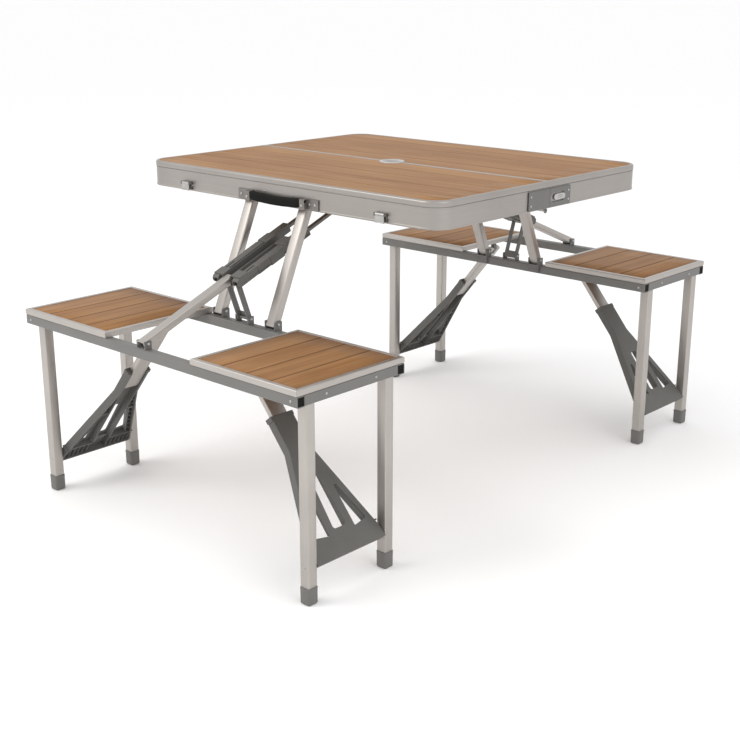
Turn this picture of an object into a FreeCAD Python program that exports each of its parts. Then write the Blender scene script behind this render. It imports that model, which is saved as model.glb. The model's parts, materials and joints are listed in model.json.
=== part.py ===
import FreeCAD, Part
import math
import os
import re

# Folding suitcase picnic table with four seats, shown open.
# Millimetres.  +X runs along the seam between the two tabletop halves, -Y is the
# handle side ("front"), +Z is up, and the origin is on the ground under the middle.
# Every bench piece is drawn once for the front bench; the rear bench is the same
# bench turned half a turn about Z, and the left legs are the right legs turned
# half a turn about the middle of their bench.

V = FreeCAD.Vector
X_AXIS = V(1, 0, 0)
Y_AXIS = V(0, 1, 0)
Z_AXIS = V(0, 0, 1)

SIZES = {
    # tabletop
    "table_length": 840, "half_width": 345, "table_height": 686, "frame_depth": 54,
    "corner_radius": 45, "frame_wall": 3, "rim_lip": 8, "seam_wall": 5,
    "ledge_width": 20, "ledge_thickness": 4, "panel_thickness": 6, "rim_round": 2.4,
    "groove_depth": 1, "groove_height": 2, "groove_drop": 11, "panel_sunk": 0.6,
    # umbrella ring
    "ring_outer": 28, "ring_bore": 18, "ring_proud": 1.5,
    # bench
    "bench_length": 812, "bench_outer": 692, "bench_depth": 274, "seat_height": 412,
    "seat_length": 278, "seat_edge_height": 12, "seat_rim": 10, "seat_frame": 17,
    "seat_panel_thickness": 5, "seat_sunk": 0.5, "rail_size": 20, "tube_wall": 1.5,
    "end_flange": 2.5,
    "plug_depth": 7,
    # legs
    "leg_size": 22, "leg_spacing": 202, "leg_head_gap": 2, "leg_end_gap": 1,
    "leg_pin_radius": 4, "cap_wall": 1.5, "cap_round": 3.5, "foot_height": 34, "foot_sole": 6,
    # leg brace (moulded plate and strut that fold like an elbow)
    "brace_base_height": 72, "strut_inset": 259.5, "brace_skin": 3, "brace_back": 10,
    "brace_front": 8, "brace_waist": 31, "brace_waist_at": 190, "brace_neck": 26,
    "brace_neck_at": 205, "brace_neck_over": 48, "brace_rib": 3, "channel_half": 20,
    "strut_width": 38, "strut_thickness": 12, "lug_half": 5, "strut_plug": 9,
    "lug_slot_depth": 13, "brace_foot": 8, "rib_low_at": 26, "rib_mid_at": 138,
    "rib_drop": 2, "neck_spread": 12, "sill_depth": 10, "collar_length": 9, "collar_over": 2,
    "slot_at": 42, "slot_to": 146, "slot_half_low": 17, "slot_half_high": 11,
    "window_at": 36, "window_out": 50, "window_length": 84, "window_half_low": 17,
    "window_half_high": 3, "window_turn": 10, "slot_round": 6, "window_round": 2.4,
    # arms
    "arm_width": 24, "arm_thickness": 18, "arm_pitch": 158, "mechanism_offset": 18,
    "arm_top_inset": 34, "arm_top_drop": 20, "arm_foot_inset": 4, "arm_foot_rise": 12,
    # telescopic stay
    "stay_width": 20, "stay_thickness": 16, "stay_length": 238, "stay_foot_rise": 11,
    "stay_anchor_inset": 42, "slide_length": 215, "slide_overlap": 16,
    "slide_half_height": 9, "slide_side_half": 8.5, "channel_gap": 4.4,
    "rod_width": 10, "rod_thickness": 6, "rod_overlap": 15, "rod_stub": 3,
    "trough_wall": 1.8, "trough_clear": 1, "trough_skin": 1.5, "trough_proud": 2.5,
    "slot_width": 3, "slot_setback": 14, "slot_share": 0.55, "nose_share": 0.15,
    "wing_share": 0.64, "trough_share": 0.78, "trough_setback": 6,
    # fork link
    "fork_foot_inset": 10, "fork_length": 80.6, "fork_reach": 27, "prong_gap": 0.8,
    "tie_height": 11,
    "prong_thickness": 3, "prong_half": 6,
    # pins, plates and gaps
    "pin_radius": 3, "pin_gap": 0.3, "seam_play": 0.3, "plate": 2, "cheek": 2.4, "gap": 0.6,
    "bracket_reach": 10, "foot_reach": 8, "cheek_over": 2.5, "pin_proud": 1,
    "saddle_gap": 4, "saddle_reach": 9, "saddle_drop": 7, "apron_rise": 3,
    "lug_reach": 5,
    # seam hinges and end plates
    "hinge_drop": 4.4, "knuckle_radius": 4, "knuckle_length": 12, "hinge_pin_radius": 1.6,
    "hinge_end_inset": 27, "hinge_mid": 150, "leaf_height": 30,
    "leaf_gap": 0.4,
    "end_plate_width": 71, "end_plate_height": 38, "end_plate_rise": 1.5,
    "slot_length": 50, "slot_height": 18, "knob_length": 37, "knob_height": 12,
    "knob_proud": 4.5, "knob_gap": 0.5, "slot_inset": 2,
    # handle and latches
    "grip_length": 144, "grip_height": 22, "grip_thickness": 10, "grip_stand": 3,
    "grip_rise": 1.5, "grip_round": 4, "handle_bracket": 44, "boss_length": 14, "boss_inset": 1,
    "latch_offset": 283, "latch_width": 28,
    "latch_height": 17, "latch_rise": 3, "latch_barrel": 3, "latch_pin_radius": 1.5,
    "latch_play": 0.4, "latch_gap": 0.5, "keeper_reach": 4, "grip_pin_reach": 12,
}

# Places that follow from the sizes above.
LAYOUT = {
    "half_length": "table_length/2",
    "tray_floor": "table_height-frame_depth",
    "panel_under": "table_height-panel_thickness",
    "bench_half": "bench_length/2",
    "bench_inner": "bench_outer-bench_depth",
    "bench_centre": "bench_outer-bench_depth/2",
    "rail_top": "seat_height-seat_edge_height",
    "rail_under": "rail_top-rail_size",
    "leg_pivot_x": "bench_half-end_flange-leg_end_gap-leg_size/2",
    "leg_pivot_z": "rail_top-leg_head_gap-leg_size/2",
    "foot_size": "leg_size+2*cap_wall",
    "brace_drop": "leg_pivot_z-brace_base_height",
    "brace_reach": "sqrt(strut_inset^2+brace_drop^2)",
    "brace_length": "(brace_reach+brace_drop-strut_inset)/2",
    "strut_length": "(brace_reach-brace_drop+strut_inset)/2",
    "strut_tilt": "atan2(brace_drop; strut_inset)/1deg",
    "strut_x": "leg_pivot_x-strut_inset",
    "brace_end": "brace_length+brace_neck_over",
    "brace_half": "leg_spacing/2-leg_size/2-gap",
    "arm_top_y": "half_width-arm_top_inset",
    "arm_top_z": "table_height-arm_top_drop",
    "arm_foot_y": "bench_inner+arm_foot_inset",
    "arm_foot_z": "rail_top+arm_foot_rise",
    "arm_out": "arm_foot_y-arm_top_y",
    "arm_down": "arm_top_z-arm_foot_z",
    "arm_length": "sqrt(arm_out^2+arm_down^2)",
    "arm_lean": "atan2(arm_out; arm_down)/1deg",
    "stay_foot_y": "bench_outer-rail_size/2",
    "stay_foot_z": "rail_top+stay_foot_rise",
    "stay_run": "stay_foot_y-stay_anchor_inset",
    "stay_rise": "arm_top_z-stay_foot_z",
    "stay_span": "sqrt(stay_run^2+stay_rise^2)",
    "stay_angle": "atan2(stay_rise; stay_run)/1deg",
    "slide_start": "stay_length-slide_overlap",
    "slide_end": "slide_start+slide_length",
    "rod_length": "stay_span-slide_end+rod_overlap",
    "slot_end": "slide_start+slide_length*slot_share",
    "nose_end": "slide_start+slide_length*nose_share",
    "wing_start": "slide_start+slide_length*wing_share",
    "trough_end": "slide_start+slide_length*trough_share",
    "trough_half": "stay_width/2+trough_clear+trough_wall",
    "trough_floor": "stay_thickness/2+trough_clear",
    "prong_inner": "trough_half+prong_gap",
    "side_inner": "prong_inner+prong_thickness+channel_gap",
    "slide_rod_offset": "side_inner+slide_side_half",
    "fork_foot_y": "bench_inner+fork_foot_inset",
    "fork_foot_z": "stay_foot_z",
    "fork_angle": "180-acos(fork_reach/fork_length)/1deg",
    "hinge_z": "tray_floor-hinge_drop",
    "grip_y": "half_width+grip_stand+grip_thickness/2",
    "grip_pivot_z": "tray_floor+grip_rise+grip_height-grip_thickness/2",
    "latch_pivot_z": "tray_floor+latch_rise+latch_height-latch_barrel",
}

doc = FreeCAD.newDocument("PicnicTable")
sheet = doc.addObject("Spreadsheet::Sheet", "Sizes")
for row, (alias, value) in enumerate(SIZES.items(), start=1):
    sheet.set("A%d" % row, alias)
    sheet.set("B%d" % row, str(value))
    sheet.setAlias("B%d" % row, alias)
doc.recompute()

layout = doc.addObject("App::VarSet", "Layout")
WORD = re.compile(r"[A-Za-z_][A-Za-z0-9_]*")


def bound(text):
    """Write a size expression with each name pointed at the sheet or the layout."""
    def qualify(match):
        word = match.group(0)
        if word in SIZES:
            return "Sizes." + word
        if word in LAYOUT:
            return "Layout." + word
        return word
    return WORD.sub(qualify, str(text))


for word, rule in LAYOUT.items():
    layout.addProperty("App::PropertyFloat", word)
    layout.setExpression(word, bound(rule))
doc.recompute()


def value(word):
    """Read a size or a layout value."""
    if word in SIZES:
        return float(sheet.get(word))
    return float(getattr(layout, word))


def place(thing, x=0, y=0, z=0, axis=None, angle=0):
    """Bind where a piece sits, and its turn about one axis."""
    if axis is not None:
        thing.Placement = FreeCAD.Placement(V(0, 0, 0), FreeCAD.Rotation(axis, 1))
        thing.setExpression("Placement.Rotation.Angle", bound(angle))
    thing.setExpression("Placement.Base.x", bound(x))
    thing.setExpression("Placement.Base.y", bound(y))
    thing.setExpression("Placement.Base.z", bound(z))
    return thing


def box(name, x, y, z):
    """A block between two bounds on each axis; each of x, y, z is (low, high)."""
    thing = doc.addObject("Part::Box", name)
    for side, (low, high) in zip(("Length", "Width", "Height"), (x, y, z)):
        thing.setExpression(side, bound("(%s)-(%s)" % (high, low)))
    return place(thing, x[0], y[0], z[0])


TURNS = {"x": (Y_AXIS, 90), "y": (X_AXIS, -90), "z": (None, 0)}


def rod(name, along, radius, span, x=0, y=0, z=0):
    """A cylinder along x, y or z over span = (low, high) on that axis."""
    thing = doc.addObject("Part::Cylinder", name)
    thing.setExpression("Radius", bound(radius))
    thing.setExpression("Height", bound("(%s)-(%s)" % (span[1], span[0])))
    axis, angle = TURNS[along]
    at = {"x": x, "y": y, "z": z}
    at[along] = span[0]
    return place(thing, at["x"], at["y"], at["z"], axis, angle)


def taper(name, start, end, half_start, half_end, low, high):
    """A plate along +x that narrows from half_start to half_end in y."""
    thing = doc.addObject("Part::Wedge", name)
    bounds = {
        "Xmin": "-(%s)" % half_start, "Xmax": half_start, "Ymin": start, "Ymax": end,
        "X2min": "-(%s)" % half_end, "X2max": half_end,
        "Zmin": low, "Zmax": high, "Z2min": low, "Z2max": high,
    }
    for side, rule in bounds.items():
        thing.setExpression(side, bound(rule))
    return place(thing, 0, 0, 0, Z_AXIS, -90)


def cut(name, base, tool):
    thing = doc.addObject("Part::Cut", name)
    thing.Base = base
    thing.Tool = tool
    return thing


def fuse(name, *pieces):
    thing = doc.addObject("Part::MultiFuse", name)
    thing.Shapes = list(pieces)
    return thing


def group(name, *pieces):
    thing = doc.addObject("Part::Compound", name)
    thing.Links = list(pieces)
    return thing


def rounded(name, base, radius, wanted):
    """Round the edges of base that the test wanted(edge) picks."""
    doc.recompute()
    thing = doc.addObject("Part::Fillet", name)
    thing.Base = base
    size = value(radius) if isinstance(radius, str) else radius
    picked = [i for i, e in enumerate(base.Shape.Edges, start=1) if wanted(e)]
    thing.Edges = [(i, size, size) for i in picked]
    return thing


def upright(edge):
    """True for a straight vertical edge."""
    ends = edge.Vertexes
    return len(ends) == 2 and (ends[0].Point - ends[1].Point).cross(Z_AXIS).Length < 1e-6


NODES = []


def node(label, piece, turned=False, shift="0"):
    """Name a finished sub-part and put it in place: turned is half a turn about Z."""
    holder = group("Node_" + label, piece)
    holder.Label = label
    if turned:
        place(holder, 0, shift, 0, Z_AXIS, 180)
    else:
        place(holder, 0, shift, 0)
    NODES.append(holder)
    return holder


def rounded_tray(name, inset, seam, low, high):
    """A block over one tabletop half with its two outer corners rounded."""
    block = box(name + "_block", ("-half_length+%s" % inset, "half_length-%s" % inset),
                ("-half_width+%s" % inset, "-(%s)" % seam), (low, high))
    limit = -value("half_width") / 2
    radius = max(1.0, value("corner_radius") - value_of(inset))
    return rounded(name, block, radius,
                   lambda e: upright(e) and e.CenterOfMass.y < limit)


def value_of(rule):
    """Work out an expression of sizes and layout values in Python."""
    words = {w: value(w) for w in WORD.findall(str(rule)) if w in SIZES or w in LAYOUT}
    total = 0.0
    for term in str(rule).replace("-", "+-").split("+"):
        if term.strip():
            sign = -1.0 if term.strip().startswith("-") else 1.0
            body = term.strip().lstrip("-")
            total += sign * (words[body] if body in words else float(body))
    return total


# ---------------------------------------------------------------- tabletop halves
def tabletop(side, turned):
    outer = rounded_tray(side + "_frame_outer", "0", "0", "tray_floor", "table_height")
    seat = rounded_tray(side + "_panel_seat", "rim_lip", "seam_wall",
                        "panel_under", "table_height+1")
    opening = rounded_tray(side + "_ledge_opening", "ledge_width", "seam_wall",
                           "panel_under-ledge_thickness-1", "panel_under+1")
    hollow = rounded_tray(side + "_hollow", "frame_wall", "seam_wall",
                          "tray_floor+frame_wall", "panel_under-ledge_thickness")
    mouth = rounded_tray(side + "_mouth", "rim_lip", "seam_wall",
                         "tray_floor-1", "tray_floor+frame_wall+1")
    notch = rod(side + "_ring_notch", "z", "ring_outer", ("tray_floor-1", "table_height+2"))
    slab = box(side + "_groove_slab", ("-half_length-1", "half_length+1"),
               ("-half_width-1", "0"),
               ("table_height-groove_drop-groove_height", "table_height-groove_drop"))
    core = rounded_tray(side + "_groove_core", "groove_depth", "0",
                        "tray_floor", "table_height")
    groove = cut(side + "_groove", slab, core)
    shell = cut(side + "_shell", outer, fuse(side + "_shell_cuts",
                seat, opening, hollow, mouth, notch, groove))
    top = value("table_height")
    outer_y = -value("half_width")
    ends = value("half_length")

    def rim(edge):
        box_ = edge.BoundBox
        if box_.ZMin < top - 0.01 or box_.YMin > -0.01:
            return False
        at_end = abs(max(abs(box_.XMin), abs(box_.XMax)) - ends) < 0.01
        return at_end or abs(box_.YMin - outer_y) < 0.01

    frame = rounded(side + "_frame_rounded", shell, "rim_round", rim)
    node(side + "_tabletop_frame", frame, turned)

    panel = rounded_tray(side + "_panel_blank", "rim_lip", "seam_wall",
                         "panel_under", "table_height-panel_sunk")
    bite = rod(side + "_panel_bite", "z", "ring_outer",
               ("panel_under-1", "table_height+1"))
    node(side + "_tabletop_panel", cut(side + "_panel", panel, bite), turned)

    ring = rod(side + "_ring_disc", "z", "ring_outer",
               ("panel_under-ledge_thickness", "table_height+ring_proud"))
    bore = rod(side + "_ring_bore", "z", "ring_bore",
               ("panel_under-ledge_thickness-1", "table_height+ring_proud+1"))
    behind = box(side + "_ring_behind", ("-ring_outer-1", "ring_outer+1"),
                 (0, "ring_outer+1"),
                 ("panel_under-ledge_thickness-2", "table_height+ring_proud+2"))
    node(side + "_umbrella_ring_half",
         cut(side + "_ring_half", ring, fuse(side + "_ring_cuts", bore, behind)), turned)


def u_bracket(name, x, y, z, half, reach, base, along_pin=True):
    """Cheeks either side of a link, a base plate and the pivot pin, as one solid.
    base is (low, high) in z of the plate; the cheeks run from it past the pin."""
    low = base[0] if base[2] == "down" else "%s-pin_radius-cheek_over" % z
    high = base[1] if base[2] == "up" else "%s+pin_radius+cheek_over" % z
    plate_ = box(name + "_base", ("%s-%s-cheek" % (x, half), "%s+%s+cheek" % (x, half)),
                 ("%s-%s" % (y, reach), "%s+%s" % (y, reach)), (base[0], base[1]))
    pieces = [plate_]
    for tag, start in (("a", "%s-%s-cheek" % (x, half)), ("b", "%s+%s" % (x, half))):
        pieces.append(box(name + "_cheek_" + tag, (start, "%s+cheek" % start),
                          ("%s-%s" % (y, reach), "%s+%s" % (y, reach)), (low, high)))
    if along_pin:
        pieces.append(rod(name + "_pin", "x", "pin_radius",
                          ("%s-%s-cheek-pin_proud" % (x, half),
                           "%s+%s+cheek+pin_proud" % (x, half)),
                          y=y, z=z))
    return fuse(name, *pieces)


ARM_PLACES = ("-mechanism_offset-arm_pitch/2", "-mechanism_offset+arm_pitch/2")
ARM_HALF = "(arm_width/2+gap)"


def underside(side, turned):
    pieces = []
    top = ("panel_under-plate", "panel_under", "up")
    for i, x in enumerate(ARM_PLACES):
        pieces.append(u_bracket("%s_arm_hinge_%d" % (side, i), x, "-arm_top_y",
                                "arm_top_z", ARM_HALF, "bracket_reach", top))
    # open saddle for the two stay rods: plain cheeks beyond the rod stubs
    for tag, sign in (("a", "-"), ("b", "+")):
        reach = "slide_rod_offset+rod_width/2+saddle_gap"
        inner = "-mechanism_offset%s(%s)" % (sign, reach)
        outer = "-mechanism_offset%s(%s+cheek)" % (sign, reach)
        low, high = (outer, inner) if sign == "-" else (inner, outer)
        pieces.append(box("%s_saddle_%s" % (side, tag), (low, high),
                          ("-stay_anchor_inset-saddle_reach",
                           "-stay_anchor_inset+saddle_reach"),
                          ("arm_top_z-saddle_drop", "panel_under")))
    node(side + "_underside_brackets", group(side + "_underside", *pieces), turned)


HINGE_PLACES = ("-half_length+hinge_end_inset", "-hinge_mid", "hinge_mid",
                "half_length-hinge_end_inset")


def hinge_leaves(side, turned, has_pins):
    """Leaves on the seam wall. The front leaves carry the outer knuckles and pins,
    the rear leaves the middle knuckles."""
    pieces = []
    half = "knuckle_length/2"
    for i, x in enumerate(HINGE_PLACES):
        tag = "%s_leaf_%d" % (side, i)
        spans = []
        if has_pins:
            spans.append(("%s-knuckle_length*1.5" % x, "%s-%s-seam_play" % (x, half)))
            spans.append(("%s+%s+seam_play" % (x, half), "%s+knuckle_length*1.5" % x))
        else:
            spans.append(("%s-%s+seam_play" % (x, half), "%s+%s-seam_play" % (x, half)))
        wall = box(tag + "_wall", (spans[0][0], spans[-1][1]),
                   ("-seam_wall-plate", "-seam_wall"), ("tray_floor-plate",
                                                       "tray_floor+leaf_height"))
        parts = [wall]
        for n, span in enumerate(spans):
            knuckle = rod("%s_knuckle_%d" % (tag, n), "x", "knuckle_radius", span,
                          z="hinge_z")
            web = box("%s_web_%d" % (tag, n), span, ("-seam_wall-plate", "-leaf_gap"),
                      ("tray_floor-plate", "tray_floor"))
            parts += [knuckle, web]
        body = fuse(tag + "_body", *parts)
        hole = rod(tag + "_hole", "x",
                   "hinge_pin_radius" if has_pins else "hinge_pin_radius+pin_gap",
                   ("%s-knuckle_length*2" % x, "%s+knuckle_length*2" % x), z="hinge_z")
        pieces.append(cut(tag, body, hole))
        if has_pins:
            pieces.append(rod(tag + "_pin", "x", "hinge_pin_radius",
                              ("%s-knuckle_length*1.5" % x, "%s+knuckle_length*1.5" % x),
                              z="hinge_z"))
    node(side + "_seam_hinges", group(side + "_hinges", *pieces), turned)


SLOT_MID = "(slot_inset+slot_length/2)"
PLATE_MID = "(tray_floor+end_plate_rise+end_plate_height/2)"


def oval(name, x, middle, length, height):
    """A flat oval with its long way along y, between two x bounds."""
    flat = box(name + "_flat", x,
               ("%s-%s/2+%s/2" % (middle, length, height),
                "%s+%s/2-%s/2" % (middle, length, height)),
               ("%s-%s/2" % (PLATE_MID, height), "%s+%s/2" % (PLATE_MID, height)))
    ends = []
    for tag, sign, back in (("a", "-", "+"), ("b", "+", "-")):
        y = "%s%s%s/2%s%s/2" % (middle, sign, length, back, height)
        ends.append(rod(name + "_end_" + tag, "x", "%s/2" % height, x, y=y, z=PLATE_MID))
    return fuse(name, flat, *ends)


def end_plates(side, turned, slotted):
    """Steel plates over the two seam ends of a half; the rear pair is slotted."""
    pieces = []
    for tag, low, high in (("left", "-half_length-plate", "-half_length"),
                           ("right", "half_length", "half_length+plate")):
        name = "%s_end_plate_%s" % (side, tag)
        flat = box(name, (low, high), ("-end_plate_width", "-seam_play"),
                   ("tray_floor+end_plate_rise",
                    "tray_floor+end_plate_rise+end_plate_height"))
        if slotted:
            slot = oval(name + "_slot", ("%s-1" % low, "%s+1" % high),
                        "-" + SLOT_MID, "slot_length", "slot_height")
            flat = cut(name + "_slotted", flat, slot)
        pieces.append(flat)
    node(side + "_end_plates", group(side + "_plates", *pieces), turned)


def lock_knob(label, low, high):
    """Sliding knob in the slot of a rear end plate, at its unlocked end."""
    middle = "(slot_inset+slot_length-knob_length/2-knob_gap)"
    node(label, oval(label + "_oval", (low, high), middle, "knob_length", "knob_height"))


def handle():
    pieces = []
    for tag, sign in (("left", "-"), ("right", "+")):
        near = "%s(grip_length/2+gap)" % sign
        far = "%s(grip_length/2+gap+handle_bracket)" % sign
        low, high = (far, near) if sign == "-" else (near, far)
        boss_far = "%s(grip_length/2+gap+boss_length)" % sign
        b_low, b_high = (boss_far, near) if sign == "-" else (near, boss_far)
        flat = box("handle_foot_" + tag, (low, high),
                   ("-half_width-plate", "-half_width"),
                   ("tray_floor+grip_rise", "tray_floor+grip_rise+grip_height"))
        boss = box("handle_boss_" + tag, (b_low, b_high),
                   ("-grip_y-grip_thickness/2", "-half_width"),
                   ("tray_floor+grip_rise+boss_inset",
                    "tray_floor+grip_rise+grip_height-boss_inset"))
        boss_round = rounded("handle_boss_round_" + tag, boss, 3.0,
                             lambda e: upright(e) and e.CenterOfMass.y
                             < -value("half_width") - 2)
        hole = rod("handle_hole_" + tag, "x", "pin_radius+pin_gap",
                   ("%s-1" % low, "%s+1" % high), y="-grip_y", z="grip_pivot_z")
        pieces.append(cut("handle_bracket_" + tag,
                          fuse("handle_block_" + tag, flat, boss_round), hole))
    node("handle_brackets", group("handle_pair", *pieces))

    bar = box("grip_bar", ("-grip_length/2", "grip_length/2"),
              ("-grip_y-grip_thickness/2", "-grip_y+grip_thickness/2"),
              ("tray_floor+grip_rise", "tray_floor+grip_rise+grip_height"))

    def long_edge(edge):
        box_ = edge.BoundBox
        return box_.XLength > value("grip_length") - 1

    soft = rounded("grip_soft", bar, "grip_round", long_edge)
    pin = rod("grip_pin", "x", "pin_radius",
              ("-grip_length/2-grip_pin_reach", "grip_length/2+grip_pin_reach"),
              y="-grip_y", z="grip_pivot_z")
    node("handle_grip", fuse("grip", soft, pin))


def latches():
    bases = []
    keepers = []
    for tag, x in (("left", "-latch_offset"), ("right", "latch_offset")):
        wide = ("%s-latch_width/2" % x, "%s+latch_width/2" % x)
        tall = ("tray_floor+latch_rise", "tray_floor+latch_rise+latch_height")
        flat = box("latch_flat_" + tag, wide, ("-half_width-plate", "-half_width"), tall)
        ears = []
        for n, (low, high) in enumerate(((wide[0], "%s+cheek" % wide[0]),
                                         ("%s-cheek" % wide[1], wide[1]))):
            ears.append(box("latch_ear_%s_%d" % (tag, n), (low, high),
                            ("-half_width-plate-2*latch_barrel-1", "-half_width-plate"),
                            ("latch_pivot_z-latch_barrel", "latch_pivot_z+latch_barrel")))
        block = fuse("latch_block_" + tag, flat, *ears)
        hole = rod("latch_hole_" + tag, "x", "latch_pin_radius+pin_gap",
                   ("%s-1" % wide[0], "%s+1" % wide[1]),
                   y="-half_width-plate-latch_barrel-latch_gap", z="latch_pivot_z")
        bases.append(cut("latch_base_" + tag, block, hole))

        barrel = rod("latch_barrel_" + tag, "x", "latch_barrel",
                     ("%s+cheek+latch_play" % wide[0], "%s-cheek-latch_play" % wide[1]),
                     y="-half_width-plate-latch_barrel-latch_gap", z="latch_pivot_z")
        pin = rod("latch_pin_" + tag, "x", "latch_pin_radius", wide,
                  y="-half_width-plate-latch_barrel-latch_gap", z="latch_pivot_z")
        tongue = box("latch_tongue_" + tag,
                     ("%s+cheek+latch_play" % wide[0], "%s-cheek-latch_play" % wide[1]),
                     ("-half_width-plate-latch_barrel-latch_gap-plate",
                      "-half_width-plate-latch_barrel-latch_gap"),
                     ("tray_floor+1", "latch_pivot_z"))
        node("latch_lever_" + tag, fuse("latch_lever_body_" + tag, barrel, pin, tongue))

        shelf = box("keeper_shelf_" + tag, wide, ("half_width", "half_width+plate"), tall)
        hook = box("keeper_hook_" + tag, wide, ("half_width+plate", "half_width+plate+keeper_reach"),
                   ("tray_floor+latch_rise+latch_height-plate",
                    "tray_floor+latch_rise+latch_height"))
        keepers.append(fuse("keeper_" + tag, shelf, hook))
    node("latch_bases", group("latch_base_pair", *bases))
    node("latch_keepers", group("latch_keeper_pair", *keepers))


# ---------------------------------------------------------------- benches
def tube(name, x, y, z, along):
    """A square tube, open at both ends, along x."""
    solid = box(name + "_solid", x, y, z)
    inside = {
        "x": (("%s-1" % x[0], "%s+1" % x[1]), wall(y), wall(z)),
        "z": (wall(x), wall(y), ("%s-1" % z[0], "%s+1" % z[1])),
    }[along]
    return cut(name, solid, box(name + "_inside", *inside))


def wall(span):
    """A span drawn in by the tube wall at both ends."""
    return ("%s+tube_wall" % span[0], "%s-tube_wall" % span[1])


def bench(side, turned):
    length = ("-bench_half", "bench_half")
    height = ("rail_under", "rail_top")
    outer_y = ("-bench_outer", "-bench_outer+rail_size")
    inner_y = ("-bench_inner-rail_size", "-bench_inner")
    node(side + "_bench_outer_rail",
         tube(side + "_outer_rail", length, outer_y, height, "x"), turned)
    node(side + "_bench_inner_rail",
         tube(side + "_inner_rail", length, inner_y, height, "x"), turned)

    between = (outer_y[1], inner_y[0])
    pieces = []
    plugs = []
    for tag, sign in (("left", "-"), ("right", "+")):
        face = "%sbench_half" % sign
        inside = "%s(bench_half-end_flange)" % sign
        back = "%s(bench_half-rail_size)" % sign
        flange = (face, inside) if sign == "-" else (inside, face)
        shelf = (face, back) if sign == "-" else (back, face)
        bar = fuse("%s_end_bar_%s" % (side, tag),
                   box("%s_end_web_%s" % (side, tag), flange, between,
                       ("rail_under+1", "rail_top")),
                   box("%s_end_shelf_%s" % (side, tag), shelf, between,
                       ("rail_top-tube_wall", "rail_top")))
        pieces.append(bar)
        pieces.append(rod("%s_leg_rod_%s" % (side, tag), "y", "leg_pin_radius", between,
                          x="%sleg_pivot_x" % sign, z="leg_pivot_z"))
        deep = "%s(bench_half-plug_depth-1)" % sign
        near = "%s(bench_half-1)" % sign
        span = (near, deep) if sign == "-" else (deep, near)
        for n, across in enumerate((outer_y, inner_y)):
            plugs.append(box("%s_plug_%s_%d" % (side, tag, n), span, wall(across),
                             wall(height)))
    node(side + "_bench_end_bars", group(side + "_end_bars", *pieces), turned)
    node(side + "_rail_plugs", group(side + "_plugs", *plugs), turned)

    edges = []
    panels = []
    for tag, x in (("left", ("-bench_half", "-bench_half+seat_length")),
                   ("right", ("bench_half-seat_length", "bench_half"))):
        y = ("-bench_outer", "-bench_inner")
        name = "%s_%s_seat" % (side, tag)

        def inset(by):
            return (("%s+%s" % (x[0], by), "%s-%s" % (x[1], by)),
                    ("%s+%s" % (y[0], by), "%s-%s" % (y[1], by)))

        blank = box(name + "_blank", x, y, ("rail_top", "seat_height"))
        recess = box(name + "_recess", *inset("seat_rim"),
                     ("seat_height-seat_panel_thickness", "seat_height+1"))
        through = box(name + "_through", *inset("seat_frame"),
                      ("rail_top-1", "seat_height+1"))
        top = value("seat_height")
        low_x, high_x = value_span(x)
        low_y, high_y = value_span(y)

        def outside(edge, bx=(low_x, high_x), by=(low_y, high_y), top=top):
            box_ = edge.BoundBox
            if abs(box_.ZMin - top) > 0.01:
                return False
            if box_.YLength > box_.XLength:
                return min(abs(box_.XMin - bx[0]), abs(box_.XMin - bx[1])) < 0.01
            return min(abs(box_.YMin - by[0]), abs(box_.YMin - by[1])) < 0.01

        plain = cut(name + "_plain", blank, fuse(name + "_cuts", recess, through))
        edges.append(rounded(name + "_edge", plain, 1.5, outside))
        panels.append(box(name + "_panel", *inset("seat_rim"),
                          ("seat_height-seat_panel_thickness", "seat_height-seat_sunk")))
    node(side + "_seat_edges", group(side + "_seat_edge_pair", *edges), turned)
    node(side + "_seat_panels", group(side + "_seat_panel_pair", *panels), turned)

    # feet of the arms, the stay and the fork on the rails, and the strut lugs
    foot = ("rail_top", "rail_top+plate", "down")
    pieces = []
    for i, x in enumerate(ARM_PLACES):
        name = "%s_arm_foot_%d" % (side, i)
        ears = u_bracket(name + "_ears", x, "-arm_foot_y", "arm_foot_z", ARM_HALF,
                         "bracket_reach", foot)
        apron = box(name + "_apron", ("%s-%s-cheek" % (x, ARM_HALF),
                                      "%s+%s+cheek" % (x, ARM_HALF)),
                    ("-bench_inner", "-arm_foot_y+bracket_reach"),
                    ("rail_under+apron_rise", "rail_top+plate"))
        pieces.append(fuse(name, ears, apron))
    pieces.append(u_bracket(side + "_stay_foot", "-mechanism_offset", "-stay_foot_y",
                            "stay_foot_z", "(stay_width/2+gap)", "foot_reach", foot))
    pieces.append(u_bracket(side + "_fork_foot", "-mechanism_offset", "-fork_foot_y",
                            "fork_foot_z", "(prong_inner+prong_thickness+gap)",
                            "foot_reach", foot))
    for tag, sign in (("left", "-"), ("right", "+")):
        low = "%sstrut_x-lug_reach" % sign
        high = "%sstrut_x+lug_reach" % sign
        hanger = box("%s_lug_block_%s" % (side, tag), (low, high),
                     ("-bench_centre-lug_half", "-bench_centre+lug_half"),
                     ("leg_pivot_z", "rail_top"))
        eye = rod("%s_lug_eye_%s" % (side, tag), "y", "lug_reach",
                  ("-bench_centre-lug_half", "-bench_centre+lug_half"),
                  x="%sstrut_x" % sign, z="leg_pivot_z")
        pin = rod("%s_lug_pin_%s" % (side, tag), "y", "pin_radius",
                  ("-bench_centre-strut_width/2", "-bench_centre+strut_width/2"),
                  x="%sstrut_x" % sign, z="leg_pivot_z")
        pieces.append(fuse("%s_strut_lug_%s" % (side, tag), hanger, eye, pin))
    node(side + "_bench_brackets", group(side + "_bench_feet", *pieces), turned)


def value_span(span):
    """Both bounds of a span, worked out in Python."""
    return value_of(span[0]), value_of(span[1])


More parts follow.
